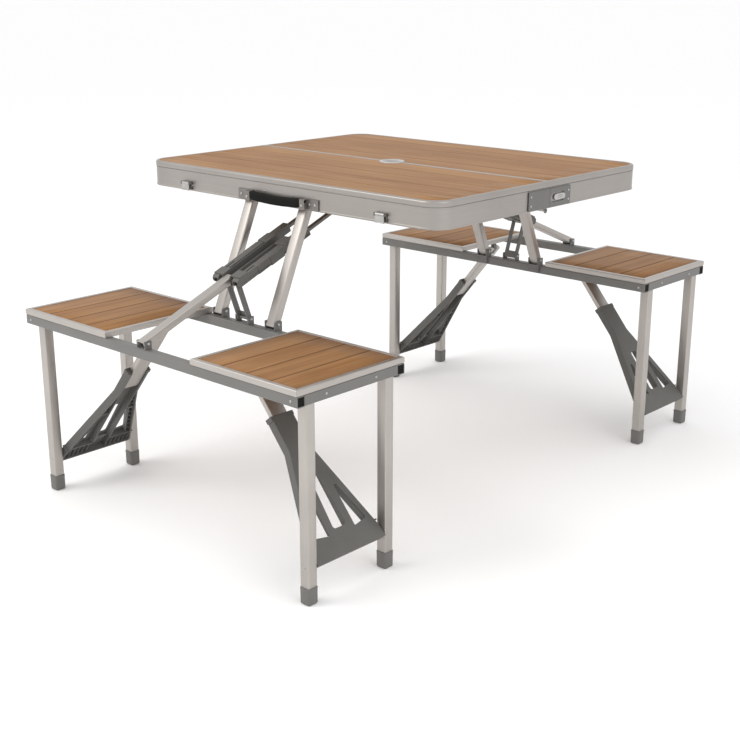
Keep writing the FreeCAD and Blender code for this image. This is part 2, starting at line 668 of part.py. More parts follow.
def arms(side, turned):
    """Two tubes from the tabletop down to the inner rail, on the same two axes."""
    pieces = []
    for i, x in enumerate(ARM_PLACES):
        name = "%s_arm_%d" % (side, i)
        wide = ("%s-arm_width/2" % x, "%s+arm_width/2" % x)
        thick = ("-arm_thickness/2", "arm_thickness/2")
        long_ = ("-arm_length", "0")
        outside = fuse(name + "_outside", box(name + "_bar", wide, thick, long_),
                       rod(name + "_top", "x", "arm_thickness/2", wide),
                       rod(name + "_foot", "x", "arm_thickness/2", wide,
                           z="-arm_length"))
        inside = box(name + "_inside", wall(wide), wall(thick),
                     ("-arm_length+arm_thickness/2", "-arm_thickness/2"))
        holes = [rod(name + "_hole_top", "x", "pin_radius+pin_gap",
                     ("%s-1" % wide[0], "%s+1" % wide[1])),
                 rod(name + "_hole_foot", "x", "pin_radius+pin_gap",
                     ("%s-1" % wide[0], "%s+1" % wide[1]), z="-arm_length")]
        pieces.append(cut(name, outside, fuse(name + "_cuts", inside, *holes)))
    pair = place(group(side + "_arm_pair", *pieces), 0, "-arm_top_y", "arm_top_z",
                 X_AXIS, "-arm_lean")
    node(side + "_arms", pair, turned)


def on_stay(thing):
    """Put a piece drawn along +y from the stay's foot pivot into its open place."""
    return place(thing, "-mechanism_offset", "-stay_foot_y", "stay_foot_z",
                 X_AXIS, "stay_angle")


def stay(side, turned):
    wide = ("-stay_width/2", "stay_width/2")
    thick = ("-stay_thickness/2", "stay_thickness/2")
    outside = fuse(side + "_stay_outside",
                   box(side + "_stay_bar", wide, (0, "stay_length"), thick),
                   rod(side + "_stay_end", "x", "stay_thickness/2", wide))
    inside = box(side + "_stay_inside", wall(wide),
                 ("stay_thickness", "stay_length+1"), wall(thick))
    hole = rod(side + "_stay_hole", "x", "pin_radius+pin_gap",
               ("-stay_width", "stay_width"))
    tube_ = cut(side + "_stay", outside, fuse(side + "_stay_cuts", inside, hole))
    node(side + "_stay_tube", on_stay(group(side + "_stay_on", tube_)), turned)

    # slide bracket: a trough round the stay tube between two rod channels
    pieces = []
    tall = ("-slide_half_height", "slide_half_height")
    run = ("slide_start+slide_half_height", "slide_end")
    for tag, sign in (("a", "-"), ("b", "+")):
        name = "%s_channel_%s" % (side, tag)
        middle = "%sslide_rod_offset" % sign
        across = ("%s-slide_side_half" % middle, "%s+slide_side_half" % middle)
        block = fuse(name + "_block", box(name + "_body", across, run, tall),
                     rod(name + "_nose", "x", "slide_half_height", across,
                         y="slide_start+slide_half_height"))
        guide = box(name + "_guide",
                    ("%s-rod_width/2-1" % middle, "%s+rod_width/2+1" % middle),
                    ("slide_start-1", "slide_end+1"),
                    ("-rod_thickness/2-1", "rod_thickness/2+1"))
        slot = box(name + "_slot",
                   ("%s-slot_width/2" % middle, "%s+slot_width/2" % middle),
                   ("slide_start+slot_setback", "slot_end"),
                   (0, "slide_half_height+1"))
        pieces.append(cut(name, block, fuse(name + "_cuts", guide, slot)))
    trough = box(side + "_trough_block", ("-trough_half", "trough_half"),
                 ("slide_start+trough_setback", "trough_end"),
                 ("-trough_floor-trough_skin", "slide_half_height+trough_proud"))
    bore = box(side + "_trough_bore", ("-trough_half+trough_wall", "trough_half-trough_wall"),
               ("slide_start", "slide_end"), ("-trough_floor", "slide_half_height+trough_floor"))
    # wings join the tops of the trough's walls to both channels at the nose and at the
    # trough's end, and leave the middle open for the fork's prongs
    wings = []
    for tag, sign in (("a", "-"), ("b", "+")):
        far = "%s(slide_rod_offset+slide_side_half)" % sign
        near = "%s(trough_half-trough_wall/2)" % sign
        across = (far, near) if sign == "-" else (near, far)
        for end, run in (("nose", ("slide_start+slide_half_height", "nose_end")),
                         ("tail", ("wing_start", "trough_end"))):
            wings.append(box("%s_wing_%s_%s" % (side, end, tag), across, run,
                             ("slide_half_height-trough_wall/2",
                              "slide_half_height+trough_proud")))
    trough_cut = cut(side + "_trough", trough, bore)
    bracket = fuse(side + "_slide", trough_cut, *pieces, *wings)
    node(side + "_slide_bracket", on_stay(group(side + "_slide_on", bracket)), turned)

    # two flat rods that run in the channels and end in stub pins at the saddle
    rods = []
    for tag, sign in (("a", "-"), ("b", "+")):
        name = "%s_rod_%s" % (side, tag)
        middle = "%sslide_rod_offset" % sign
        across = ("%s-rod_width/2" % middle, "%s+rod_width/2" % middle)
        flat = box(name + "_flat", across, ("stay_span-rod_length", "stay_span"),
                   ("-rod_thickness/2", "rod_thickness/2"))
        eye = rod(name + "_eye", "x", "rod_thickness/2", across, y="stay_span")
        far = "%s(slide_rod_offset+rod_width/2+rod_stub)" % sign
        span = (far, middle) if sign == "-" else (middle, far)
        stub = rod(name + "_stub", "x", "rod_thickness/2", span, y="stay_span")
        rods.append(fuse(name, flat, eye, stub))
    node(side + "_stay_rods", on_stay(group(side + "_rods_on", *rods)), turned)

    # fork link between the inner rail and the nose of the slide bracket
    prongs = []
    for tag, sign in (("a", "-"), ("b", "+")):
        name = "%s_prong_%s" % (side, tag)
        near = "%sprong_inner" % sign
        far = "%s(prong_inner+prong_thickness)" % sign
        across = (far, near) if sign == "-" else (near, far)
        prongs.append(box(name + "_bar", across, (0, "fork_length"),
                          ("-prong_half", "prong_half")))
        prongs.append(rod(name + "_tip", "x", "prong_half", across, y="fork_length"))
        prongs.append(rod(name + "_root", "x", "prong_half", across))
    tie = box(side + "_fork_tie", ("-prong_inner-1", "prong_inner+1"),
              ("-prong_half", "tie_height"), ("-prong_half", "-pin_radius-pin_gap"))
    hole = rod(side + "_fork_hole", "x", "pin_radius+pin_gap",
               ("-prong_inner-prong_thickness-1", "prong_inner+prong_thickness+1"))
    link = cut(side + "_fork", fuse(side + "_fork_block", tie, *prongs), hole)
    node(side + "_fork_link",
         place(group(side + "_fork_on", link), "-mechanism_offset", "-fork_foot_y",
               "fork_foot_z", X_AXIS, "fork_angle"), turned)


# ---------------------------------------------------------------- legs
def leg_set(label, turned, shift):
    """Two legs with foot caps, drawn for the front right end."""
    legs = []
    caps = []
    for tag, sign in (("outer", "-"), ("inner", "+")):
        y = "-bench_centre%sleg_spacing/2" % sign
        name = "%s_leg_%s" % (label, tag)
        across = ("%s-leg_size/2" % y, "%s+leg_size/2" % y)
        along = ("leg_pivot_x-leg_size/2", "leg_pivot_x+leg_size/2")
        outside = fuse(name + "_outside",
                       box(name + "_bar", along, across, ("foot_sole", "leg_pivot_z")),
                       rod(name + "_top", "y", "leg_size/2", across,
                           x="leg_pivot_x", z="leg_pivot_z"))
        inside = box(name + "_inside", wall(along), wall(across),
                     ("foot_sole-1", "leg_pivot_z-leg_size"))
        hole = rod(name + "_hole", "y", "leg_pin_radius+pin_gap",
                   ("%s-1" % across[0], "%s+1" % across[1]),
                   x="leg_pivot_x", z="leg_pivot_z")
        legs.append(cut(name, outside, fuse(name + "_cuts", inside, hole)))

        block = box(name + "_cap_block",
                    ("leg_pivot_x-foot_size/2", "leg_pivot_x+foot_size/2"),
                    ("%s-foot_size/2" % y, "%s+foot_size/2" % y), (0, "foot_height"))

        def soften(edge):
            box_ = edge.BoundBox
            return upright(edge) or box_.ZMax < 0.01

        soft = rounded(name + "_cap_soft", block, "cap_round", soften)
        socket = box(name + "_cap_socket", along, across, ("foot_sole", "foot_height+1"))
        caps.append(cut(name + "_cap", soft, socket))
    node(label + "_legs", group(label + "_leg_pair", *legs), turned, shift)
    node(label + "_foot_caps", group(label + "_cap_pair", *caps), turned, shift)


def brace(label, turned, shift):
    """The moulded plate between a pair of legs, drawn flat along +x from its base
    pivot with its open side up, then tilted into place."""
    low = "-brace_back"
    high = "brace_front"
    skin = "-brace_back+brace_skin"

    def outline(tag, by, low_, high_, over):
        """The plate's outline drawn in by a rim, between two heights."""
        return [
            box(tag + "_foot", ("-brace_foot+%s" % by, "brace_foot"),
                ("-brace_half+%s" % by, "brace_half-%s" % by), (low_, high_)),
            taper(tag + "_wide", "brace_foot", "brace_waist_at", "brace_half-%s" % by,
                  "brace_waist-%s" % by, low_, high_),
            taper(tag + "_mid", "brace_waist_at", "brace_neck_at",
                  "brace_waist-%s" % by, "brace_neck-%s" % by, low_, high_),
            box(tag + "_neck", ("brace_neck_at", "brace_end+%s" % over),
                ("-brace_neck+%s" % by, "brace_neck-%s" % by), (low_, high_)),
        ]

    name = label + "_brace"
    outer = fuse(name + "_outer", *outline(name + "_o", "0", low, high, "0"))
    pocket = fuse(name + "_pocket", *outline(name + "_p", "brace_rib", skin,
                                             "brace_front+1", "1"))
    dish = cut(name + "_dish", outer, pocket)
    ribs = []
    for tag, sign in (("a", "-"), ("b", "+")):
        near = "%schannel_half" % sign
        far = "%s(channel_half+brace_rib)" % sign
        across = (far, near) if sign == "-" else (near, far)
        ribs.append(box("%s_wall_%s" % (name, tag), ("rib_low_at+sill_depth", "brace_end"), across,
                        (low, high)))
        edge = "%s(brace_half-1)" % sign
        base = (edge, near) if sign == "-" else (near, edge)
        ribs.append(box("%s_rib_low_%s" % (name, tag), ("rib_low_at", "rib_low_at+brace_rib"),
                        base, (low, "brace_front-rib_drop")))
        spread = "%s(brace_waist+neck_spread)" % sign
        mid = (spread, far) if sign == "-" else (far, spread)
        ribs.append(box("%s_rib_mid_%s" % (name, tag), ("rib_mid_at", "rib_mid_at+brace_rib"),
                        mid, (low, "brace_front-rib_drop")))
        lip = "%s(brace_neck+collar_over)" % sign
        collar = (lip, near) if sign == "-" else (near, lip)
        ribs.append(box("%s_collar_%s" % (name, tag), ("brace_end-collar_length", "brace_end"),
                        collar, (low, high)))
    ribs.append(box(name + "_sill", ("rib_low_at", "rib_low_at+sill_depth"),
                    ("-channel_half-brace_rib", "channel_half+brace_rib"), (low, -2)))
    ribs.append(rod(name + "_elbow_pin", "y", "pin_radius",
                    ("-channel_half-1", "channel_half+1"), x="brace_length"))
    whole = fuse(name + "_whole", dish, *ribs)
    slots = [rounded(name + "_slot_soft",
                     taper(name + "_slot", "slot_at", "slot_to", "slot_half_low",
                           "slot_half_high", "-brace_back-1", skin), "slot_round", upright)]
    for tag, sign, turn in (("a", "-", "window_turn"), ("b", "+", "-window_turn")):
        window = taper("%s_window_%s" % (name, tag), 0, "window_length",
                       "window_half_low", "window_half_high", "-brace_back-1", skin)
        window = rounded("%s_window_soft_%s" % (name, tag), window, "window_round", upright)
        hold = place(group("%s_window_on_%s" % (name, tag), window), "window_at",
                     "%swindow_out" % sign, 0, Z_AXIS, turn)
        slots.append(hold)
    plate_ = cut(name + "_plate", whole, fuse(name + "_slots", *slots))
    put = place(group(name + "_on", plate_), "leg_pivot_x", "-bench_centre",
                "brace_base_height", Y_AXIS, "strut_tilt-180")
    node(label + "_leg_brace", put, turned, shift)


def strut(label, turned, shift):
    """The flat tube from the seat lug to the elbow, drawn along +x from the lug."""
    name = label + "_strut"
    across = ("-strut_width/2", "strut_width/2")
    thick = ("-strut_thickness/2", "strut_thickness/2")
    outside = fuse(name + "_outside",
                   box(name + "_bar", (0, "strut_length"), across, thick),
                   rod(name + "_head", "y", "strut_thickness/2", across),
                   rod(name + "_tail", "y", "strut_thickness/2", across,
                       x="strut_length"))
    inside = box(name + "_inside", ("pin_radius+strut_plug", "strut_length-strut_plug"),
                 wall(across),
                 wall(thick))
    slot = box(name + "_lug_slot", ("-strut_thickness", "lug_slot_depth"),
               ("-lug_half-gap", "lug_half+gap"), ("-strut_thickness",
                                                   "strut_thickness"))
    holes = [rod(name + "_hole_head", "y", "pin_radius+pin_gap",
                 ("-strut_width", "strut_width")),
             rod(name + "_hole_tail", "y", "pin_radius+pin_gap",
                 ("-strut_width", "strut_width"), x="strut_length")]
    tube_ = cut(name + "_tube", outside, fuse(name + "_cuts", inside, slot, *holes))
    put = place(group(name + "_on", tube_), "strut_x", "-bench_centre", "leg_pivot_z",
                Y_AXIS, "strut_tilt")
    node(label + "_brace_strut", put, turned, shift)


for side, turned in (("front", False), ("rear", True)):
    tabletop(side, turned)
    underside(side, turned)
    bench(side, turned)
    arms(side, turned)
    stay(side, turned)
hinge_leaves("front", False, True)
hinge_leaves("rear", True, False)
end_plates("front", False, False)
end_plates("rear", True, True)
lock_knob("lock_knob_left", "-half_length-knob_proud", "-half_length-seam_play")
lock_knob("lock_knob_right", "half_length+seam_play", "half_length+knob_proud")
handle()
latches()
for label, turned, shift in (("front_right", False, "0"),
                             ("front_left", True, "-2*bench_centre"),
                             ("rear_left", True, "0"),
                             ("rear_right", False, "2*bench_centre")):
    leg_set(label, turned, shift)
    brace(label, turned, shift)
    strut(label, turned, shift)

doc.recompute()
for thing in doc.Objects:
    if "Invalid" in thing.State or "Error" in thing.State:
        raise RuntimeError("%s did not build: %s" % (thing.Name, thing.State))
os.makedirs("parts", exist_ok=True)
for holder in NODES:
    shape = holder.Shape
    if shape.isNull() or not shape.isValid() or not shape.Solids:
        raise RuntimeError("%s has no valid solid" % holder.Label)
    shape.exportStep("parts/%s.step" % holder.Label)
    print("%-28s %2d solids %10.0f mm3" % (holder.Label, len(shape.Solids), shape.Volume))
print("%d nodes" % len(NODES))
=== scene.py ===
import json
import math

import bmesh
import bpy
import numpy as np
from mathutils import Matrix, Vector


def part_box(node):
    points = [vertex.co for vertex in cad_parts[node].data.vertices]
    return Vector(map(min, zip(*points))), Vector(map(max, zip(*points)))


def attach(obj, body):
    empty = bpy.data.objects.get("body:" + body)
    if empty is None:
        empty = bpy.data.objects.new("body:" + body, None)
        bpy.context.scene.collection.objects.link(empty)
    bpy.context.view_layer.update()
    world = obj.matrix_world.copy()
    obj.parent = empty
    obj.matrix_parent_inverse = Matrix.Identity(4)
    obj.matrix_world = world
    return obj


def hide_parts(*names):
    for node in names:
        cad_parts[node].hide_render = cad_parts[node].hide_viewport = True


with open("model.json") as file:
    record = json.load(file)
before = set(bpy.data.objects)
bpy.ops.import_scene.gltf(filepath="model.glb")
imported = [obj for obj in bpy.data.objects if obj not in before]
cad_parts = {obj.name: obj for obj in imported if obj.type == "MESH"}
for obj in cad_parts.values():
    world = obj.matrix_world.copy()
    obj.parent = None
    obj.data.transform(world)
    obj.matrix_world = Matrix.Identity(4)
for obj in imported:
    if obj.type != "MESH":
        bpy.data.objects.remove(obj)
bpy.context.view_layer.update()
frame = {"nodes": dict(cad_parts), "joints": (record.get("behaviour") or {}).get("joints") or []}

joints = {joint["name"]: joint for joint in frame["joints"]}

# ---- tabletop frames
# Each half of the top is an aluminium extrusion bent round two corners. It has a round
# nose, a shadow groove under it, a flat wall and a lower bead, and it is satin anodised.
# A narrow strip of the same metal closes the half along the seam.
mm = 0.001
SIDES = (("front", 1.0, 0.0), ("rear", -1.0, 0.0))     # label, turn and shift
top_low, top_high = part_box("front_tabletop_frame")
HALF_LENGTH = top_high.x
HALF_WIDTH = -top_low.y
TABLE_TOP = top_high.z
TRAY_FLOOR = top_low.z
CORNER = 45 * mm
RIM = 8 * mm
SEAM_STRIP = 5 * mm
SEAM_GAP = 0.15 * mm
NOSE_ROUND = 4 * mm
WALL_SET_BACK = 0.8 * mm
GROOVE_LOW = 41 * mm
GROOVE_HIGH = 43 * mm
GROOVE_DEPTH = 1.5 * mm
WALL_THICK = 3 * mm
LEDGE = 20 * mm
LEDGE_THICK = 4 * mm
GROOVE_EDGE = 0.3 * mm
BEAD = 1 * mm
BEAD_HEIGHT = 4 * mm
RIM_EDGE = 0.6 * mm
BOARD_THICK = 6 * mm
RING_NOTCH = 28 * mm


class Field:
    """A number or colour that varies over a surface; arithmetic on it adds Math nodes."""

    def __init__(self, finish, socket):
        self.finish = finish
        self.socket = socket

    def math(self, operation, *values):
        return self.finish.node("ShaderNodeMath", {"operation": operation},
                                dict(enumerate(values)))

    def __add__(self, other):
        return self.math("ADD", self, other)

    __radd__ = __add__

    def __sub__(self, other):
        return self.math("SUBTRACT", self, other)

    def __rsub__(self, other):
        return self.math("SUBTRACT", other, self)

    def __mul__(self, other):
        return self.math("MULTIPLY", self, other)

    __rmul__ = __mul__

    def __truediv__(self, other):
        return self.math("DIVIDE", self, other)

    def __abs__(self):
        return self.math("ABSOLUTE", self)

    def floor(self):
        return self.math("FLOOR", self)

    def fraction(self):
        return self.math("FRACT", self)

    def limited(self):
        return self.finish.node("ShaderNodeClamp", {}, {"Value": self})

    def chance(self):
        """A fixed number from 0 to 1 for each whole number: the fraction of a large sine."""
        return (self.math("SINE", self * 12.9898) * 43758.547).fraction()


class Finish:
    """One material: its main shader, and one method that adds any other node."""

    def __init__(self, name, **settings):
        self.material = bpy.data.materials.new(name)
        self.material.use_nodes = True
        self.tree = self.material.node_tree
        self.shader = self.tree.nodes["Principled BSDF"]
        for word, number in settings.items():
            self.shader.inputs[word.replace("_", " ")].default_value = number
        self.place = self.node("ShaderNodeTexCoord", {}, {}, "Object")

    def node(self, kind, settings, values, output=0):
        made = self.tree.nodes.new(kind)
        for word, setting in settings.items():
            if word == "stops":
                ramp = made.color_ramp.elements
                while len(ramp) < len(setting):
                    ramp.new(0.5)
                for stop, (at, colour) in zip(ramp, setting):
                    stop.position = at
                    stop.color = (*colour, 1.0)
            else:
                setattr(made, word, setting)
        for word, value in values.items():
            self.put(made.inputs[word], value)
        return Field(self, made.outputs[output])

    def put(self, socket, value):
        if isinstance(value, Field):
            self.tree.links.new(value.socket, socket)
        else:
            socket.default_value = value

    def wear(self, word, value):
        self.put(self.shader.inputs[word], value)

    def noise(self, scale, turn=(0, 0, 0), detail=2.0, shift=None):
        """Noise of one scale, or of one for each axis, after a turn about the origin."""
        where = self.place if shift is None else shift
        scale = scale if isinstance(scale, tuple) else (scale, scale, scale)
        turned = self.node("ShaderNodeMapping", {"vector_type": "TEXTURE"},
                           {"Vector": where, "Rotation": turn})
        stretched = self.node("ShaderNodeMapping", {}, {"Vector": turned, "Scale": scale})
        return self.node("ShaderNodeTexNoise", {},
                         {"Vector": stretched, "Scale": 1.0, "Detail": detail})

    def blend(self, factor, first, second):
        return self.node("ShaderNodeMix", {"data_type": "RGBA"},
                         {0: factor, 6: first, 7: second}, 2)

    def bump(self, height, distance, strength=1.0):
        self.wear("Normal", self.node("ShaderNodeBump", {}, {
            "Height": height, "Distance": distance, "Strength": strength}))


def satin_aluminium(name, grain, turn=(0, 0, 0), shade=1.0):
    """Anodised aluminium: fine die lines along the bar, and slow cloudy changes of tone."""
    finish = Finish(name, Metallic=0.92, Specular_IOR_Level=0.5)
    lines = finish.noise(grain, turn, 3.0)
    clouds = finish.noise(9, detail=3.0)
    speck = finish.noise(700, detail=1.0)
    pale = (0.52 * shade, 0.485 * shade, 0.455 * shade, 1)
    dull = (0.38 * shade, 0.355 * shade, 0.332 * shade, 1)
    tone = (lines * 0.45 + clouds * 0.55 - 0.18) * 1.5
    finish.wear("Base Color", finish.blend(tone.limited(), dull, pale))
    finish.wear("Roughness", lines * 0.16 + clouds * 0.10 + speck * 0.06 + 0.26)
    finish.bump(lines * 0.7 + speck * 0.3, 0.05 * mm, 0.55)
    return finish.material


def quad_faces(rows, columns, around, closed, start):
    """The quads between each four neighbours of a grid of points: around joins the last
    column to the first, closed joins the last row to the first."""
    row = np.arange(rows if closed else rows - 1)[:, None]
    column = np.arange(columns if around else columns - 1)[None, :]
    next_row = (row + 1) % rows
    next_column = (column + 1) % columns
    corners = np.broadcast_arrays(row * columns + column, next_row * columns + column,
                                  next_row * columns + next_column,
                                  row * columns + next_column)
    return np.stack(corners, -1).reshape(-1, 4) + start


def skin(points, around=True, closed=False, capped=False):
    """One surface of a piece: a grid of points and how it joins up."""
    return {"points": np.asarray(points, float), "around": around, "closed": closed,
            "capped": capped}


def hang(name, mesh, body, material, replaced, smooth):
    """Make a mesh an object with one material, and hang it on its body."""
    mesh.materials.clear()
    mesh.materials.append(material)
    mesh.shade_smooth()
    mesh.set_sharp_from_angle(angle=math.radians(smooth))
    thing = bpy.data.objects.new(name, mesh)
    bpy.context.scene.collection.objects.link(thing)
    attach(thing, body)
    if replaced:
        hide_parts(*replaced)
    return thing


def make_piece(name, body, material, skins, replaced=(), smooth=32):
    """Put the skins of a piece into one mesh, weld its doubled points and turn every
    face outwards."""
    points = []
    faces = []
    start = 0
    for part in skins:
        grid = part["points"]
        rows, columns = grid.shape[:2]
        faces += quad_faces(rows, columns, part["around"], part["closed"], start).tolist()
        if part["capped"]:
            last = start + (rows - 1) * columns
            faces.append(list(range(start, start + columns)))
            faces.append(list(range(last, last + columns)))
        points.append(grid.reshape(-1, 3))
        start += rows * columns
    mesh = bpy.data.meshes.new(name)
    mesh.from_pydata(np.concatenate(points).tolist(), [], faces)
    work = bmesh.new()
    work.from_mesh(mesh)
    bmesh.ops.remove_doubles(work, verts=work.verts, dist=1e-6)
    bmesh.ops.dissolve_degenerate(work, edges=work.edges, dist=1e-7)
    bmesh.ops.recalc_face_normals(work, faces=work.faces)
    work.to_mesh(mesh)
    work.free()
    return hang(name, mesh, body, material, replaced, smooth)


def turned(skins, sign, shift=0.0):
    """The same skins at another place: half a turn about Z where sign is -1, which
    changes the sign of x and y, and then a shift along y."""
    return [{**part, "points": part["points"] * (sign, sign, 1.0) + (0, shift, 0)}
            for part in skins]


def make_copies(places, name, body, material, skins, replaced=(), smooth=32):
    """A piece at each place. The names of the piece, its body and what it replaces
    start with the place's label."""
    for label, sign, shift in places:
        make_piece(label + name, label + body, material, turned(skins, sign, shift),
                   [label + node for node in replaced], smooth)


def quarter(centre, radius, start, steps=6):
    """Points of a quarter circle about centre, from the angle start, in degrees."""
    angle = np.radians(start) + np.linspace(0, math.pi / 2, steps)
    return np.stack([centre[0] + radius * np.cos(angle),
                     centre[1] + radius * np.sin(angle)], -1)


def unit(vector):
    vector = np.asarray(vector, float)
    return vector / np.linalg.norm(vector)


def bar_axes(start, end, side):
    """A bar's ends, and the unit vectors across it, along it and up from it."""
    start = np.asarray(start, float)
    end = np.asarray(end, float)
    side = unit(side)
    axis = unit(end - start)
    return start, end, side, axis, np.cross(axis, side)


def rounded(width, height, corner, inset=0.0, steps=5):
    """Outline of a rectangle with round corners, drawn in by inset: a quarter circle of
    the corner radius less the inset at each corner."""
    radius = max(corner - inset, 1e-5)
    half_w = width / 2 - inset - radius
    half_h = height / 2 - inset - radius
    turn = np.linspace(0, math.pi / 2, steps)
    angle = np.concatenate([turn + k * math.pi / 2 for k in range(4)])
    side_x = np.repeat([1, -1, -1, 1], steps)
    side_y = np.repeat([1, 1, -1, -1], steps)
    return np.stack([side_x * half_w + radius * np.cos(angle),
                     side_y * half_h + radius * np.sin(angle)], -1)


def laid(outline, middle, side, up):
    """An outline laid in space: its first number runs along side, its second along up."""
    return (np.asarray(middle, float) + outline[:, :1] * np.asarray(side, float)
            + outline[:, 1:] * np.asarray(up, float))


def bar(start, end, side, width, height, corner, edge, steps=4):
    """A solid bar from start to end. Its outline draws in by a quarter circle of radius
    edge at both ends, and the end rows close on their middles."""
    start, end, side, axis, up = bar_axes(start, end, side)
    turn = np.linspace(0, math.pi / 2, steps)
    drawn_in = edge * (1 - np.sin(turn))
    along = edge * (1 - np.cos(turn))
    first = [laid(rounded(width, height, corner, inset), start + axis * step, side, up)
             for inset, step in zip(drawn_in, along)]
    last = [laid(rounded(width, height, corner, inset), end - axis * step, side, up)
            for inset, step in zip(drawn_in, along)]
    columns = len(first[0])
    rows = [np.tile(start, (columns, 1))] + first + last[::-1] + [np.tile(end, (columns, 1))]
    return skin(np.stack(rows))


def tray_path(inset):
    """Centres, angles and radius of the run round one half: two straight ends, and the
    two corners as quarter circles, all drawn in by inset."""
    near = HALF_LENGTH - CORNER
    far = -HALF_WIDTH + CORNER
    turn = np.linspace(0, -math.pi / 2, 14)
    angle = np.concatenate([[0.0], turn, turn - math.pi / 2, [-math.pi]])
    x = np.concatenate([np.full(15, near), np.full(15, -near)])
    y = np.concatenate([[0.0], np.full(28, far), [0.0]])
    radius = CORNER - inset
    return np.stack([x[:, None] + radius * np.cos(angle)[:, None],
                     y[:, None] + radius * np.sin(angle)[:, None]], -1)


def frame_profile():
    """The extrusion's section as (distance in from the outline, height above the floor):
    lower bead, wall set back, groove, round nose, rim, board ledge and inner wall."""
    height = TABLE_TOP - TRAY_FLOOR
    board_bed = height - BOARD_THICK
    groove_in = WALL_SET_BACK + GROOVE_DEPTH
    nose = quarter((NOSE_ROUND, height - NOSE_ROUND), NOSE_ROUND, 90)[::-1]
    return np.concatenate([
        [(RIM, 0), (BEAD, 0)],
        quarter((BEAD, BEAD), BEAD, 180, 4)[::-1],
        [(0, BEAD_HEIGHT - BEAD), (WALL_SET_BACK, BEAD_HEIGHT), (WALL_SET_BACK, GROOVE_LOW),
         (groove_in, GROOVE_LOW + GROOVE_EDGE), (groove_in, GROOVE_HIGH - GROOVE_EDGE),
         (0.2 * mm, GROOVE_HIGH), (0, GROOVE_HIGH + BEAD)],
        nose,
        [(RIM - RIM_EDGE, height), (RIM, height - RIM_EDGE), (RIM, board_bed),
         (LEDGE, board_bed), (LEDGE, board_bed - LEDGE_THICK),
         (WALL_THICK, board_bed - LEDGE_THICK), (WALL_THICK, WALL_THICK), (RIM, WALL_THICK)],
    ])


frame_metal = satin_aluminium("satin aluminium, frame", (4, 4, 1400), shade=0.80)
section = frame_profile()
run = tray_path(section[:, 0][None, :])
heights = np.broadcast_to(TRAY_FLOOR + section[:, 1], run.shape[:2])
half_frame = skin(np.concatenate([run, heights[..., None]], -1), capped=True)
strip_middle = (TABLE_TOP + TRAY_FLOOR) / 2
strip_y = -(SEAM_STRIP + SEAM_GAP) / 2
seam_strips = [
    bar((sign * (RING_NOTCH - 1 * mm), strip_y, strip_middle),
        (sign * (HALF_LENGTH - RIM + 1 * mm), strip_y, strip_middle), (0, 1, 0),
        SEAM_STRIP - SEAM_GAP, TABLE_TOP - TRAY_FLOOR - 0.1 * mm, 0.7 * mm, 0.3 * mm)
    for sign in (-1, 1)]
make_copies(SIDES, "_top_frame", "_tabletop", frame_metal,
            [half_frame] + seam_strips, ["_tabletop_frame"], 30)

# ---- tabletop boards
# Thin fibreboard let into each frame, faced with a laminate of bamboo planks that run
# along the seam. Shallow V grooves are pressed between the planks.
TOP_PLANKS = 5
BOARD_SUNK = 0.6 * mm
PLANK_GROOVE = 0.8 * mm
PLANK_GROOVE_HALF = 1.1 * mm
BOARD_UNDER_RING = 23 * mm
BAMBOO_STRIP = 5.5 * mm
NODE_SPACING = 230 * mm
NODE_WIDE = 0.9 * mm


def bamboo(name, across, pitch, origin, marks, groove_shade_half=0.9 * mm):
    """Laminate of bamboo planks. Strips a few millimetres wide run along each plank;
    each plank and strip has its own tone, and strips are crossed by rare growth marks.
    Painted shade darkens the colour in the grooves between planks."""
    finish = Finish(name, Specular_IOR_Level=0.22)
    x = finish.node("ShaderNodeSeparateXYZ", {}, {0: finish.place})
    y = Field(finish, x.socket.node.outputs[1])
    count, run = (y, x) if across == "y" else (x, y)
    steps = (count - origin) / pitch
    plank = (steps + 0.001).floor()
    plank_tone = (plank + 3.0).chance()
    strip = (count / BAMBOO_STRIP).floor()
    strip_tone = (strip + plank * 7.0).chance()
    slide = run + plank_tone * 3.1
    shifted = finish.node("ShaderNodeCombineXYZ", {}, {0: slide, 1: count, 2: 0.0})
    streaks = finish.noise((7, 420, 1), detail=4.0, shift=shifted)
    fibres = finish.noise((26, 1500, 1), detail=2.0, shift=shifted)
    clouds = finish.noise((5, 24, 1), detail=2.0, shift=shifted)
    tone = (streaks * 0.75 + fibres * 0.30 + clouds * 0.55 + strip_tone * 0.20
            + plank_tone * 0.26 - 0.55)
    colour = finish.node("ShaderNodeValToRGB", {"stops": (
        (0.0, (0.165, 0.072, 0.026)), (0.38, (0.262, 0.127, 0.048)),
        (0.68, (0.335, 0.173, 0.068)), (1.0, (0.425, 0.235, 0.100)))}, {0: tone.limited()})
    along = (slide / NODE_SPACING + strip_tone * 4.0).fraction()
    growth = (1.0 - abs(along - 0.5) * NODE_SPACING / NODE_WIDE).limited() * marks
    colour = finish.blend(growth, colour, (0.150, 0.066, 0.024, 1))
    away = abs((steps + 0.5).fraction() - 0.5) * pitch
    # painted shade: near-black colour in a band over each groove line, which also falls at board
    # edges under the rim; the same band adds roughness
    groove_painted_shade = (1.35 - away / groove_shade_half).limited()
    finish.wear("Base Color", finish.blend(groove_painted_shade * 0.93, colour, (0.042, 0.018, 0.008, 1)))
    finish.wear("Roughness", streaks * 0.18 + fibres * 0.12 + groove_painted_shade * 0.20 + 0.42)
    finish.bump(streaks * 0.5 + fibres * 0.5 - growth * 0.4, 0.12 * mm, 0.5)
    return finish.material


def groove_dip(across, lines):
    """How far the surface drops at a distance across the planks: a V of PLANK_GROOVE
    deep and twice PLANK_GROOVE_HALF wide at each line, and nothing between."""
    away = np.abs(across[:, None] - lines[None, :]).min(1)
    return PLANK_GROOVE * np.clip(1 - away / PLANK_GROOVE_HALF, 0, 1)


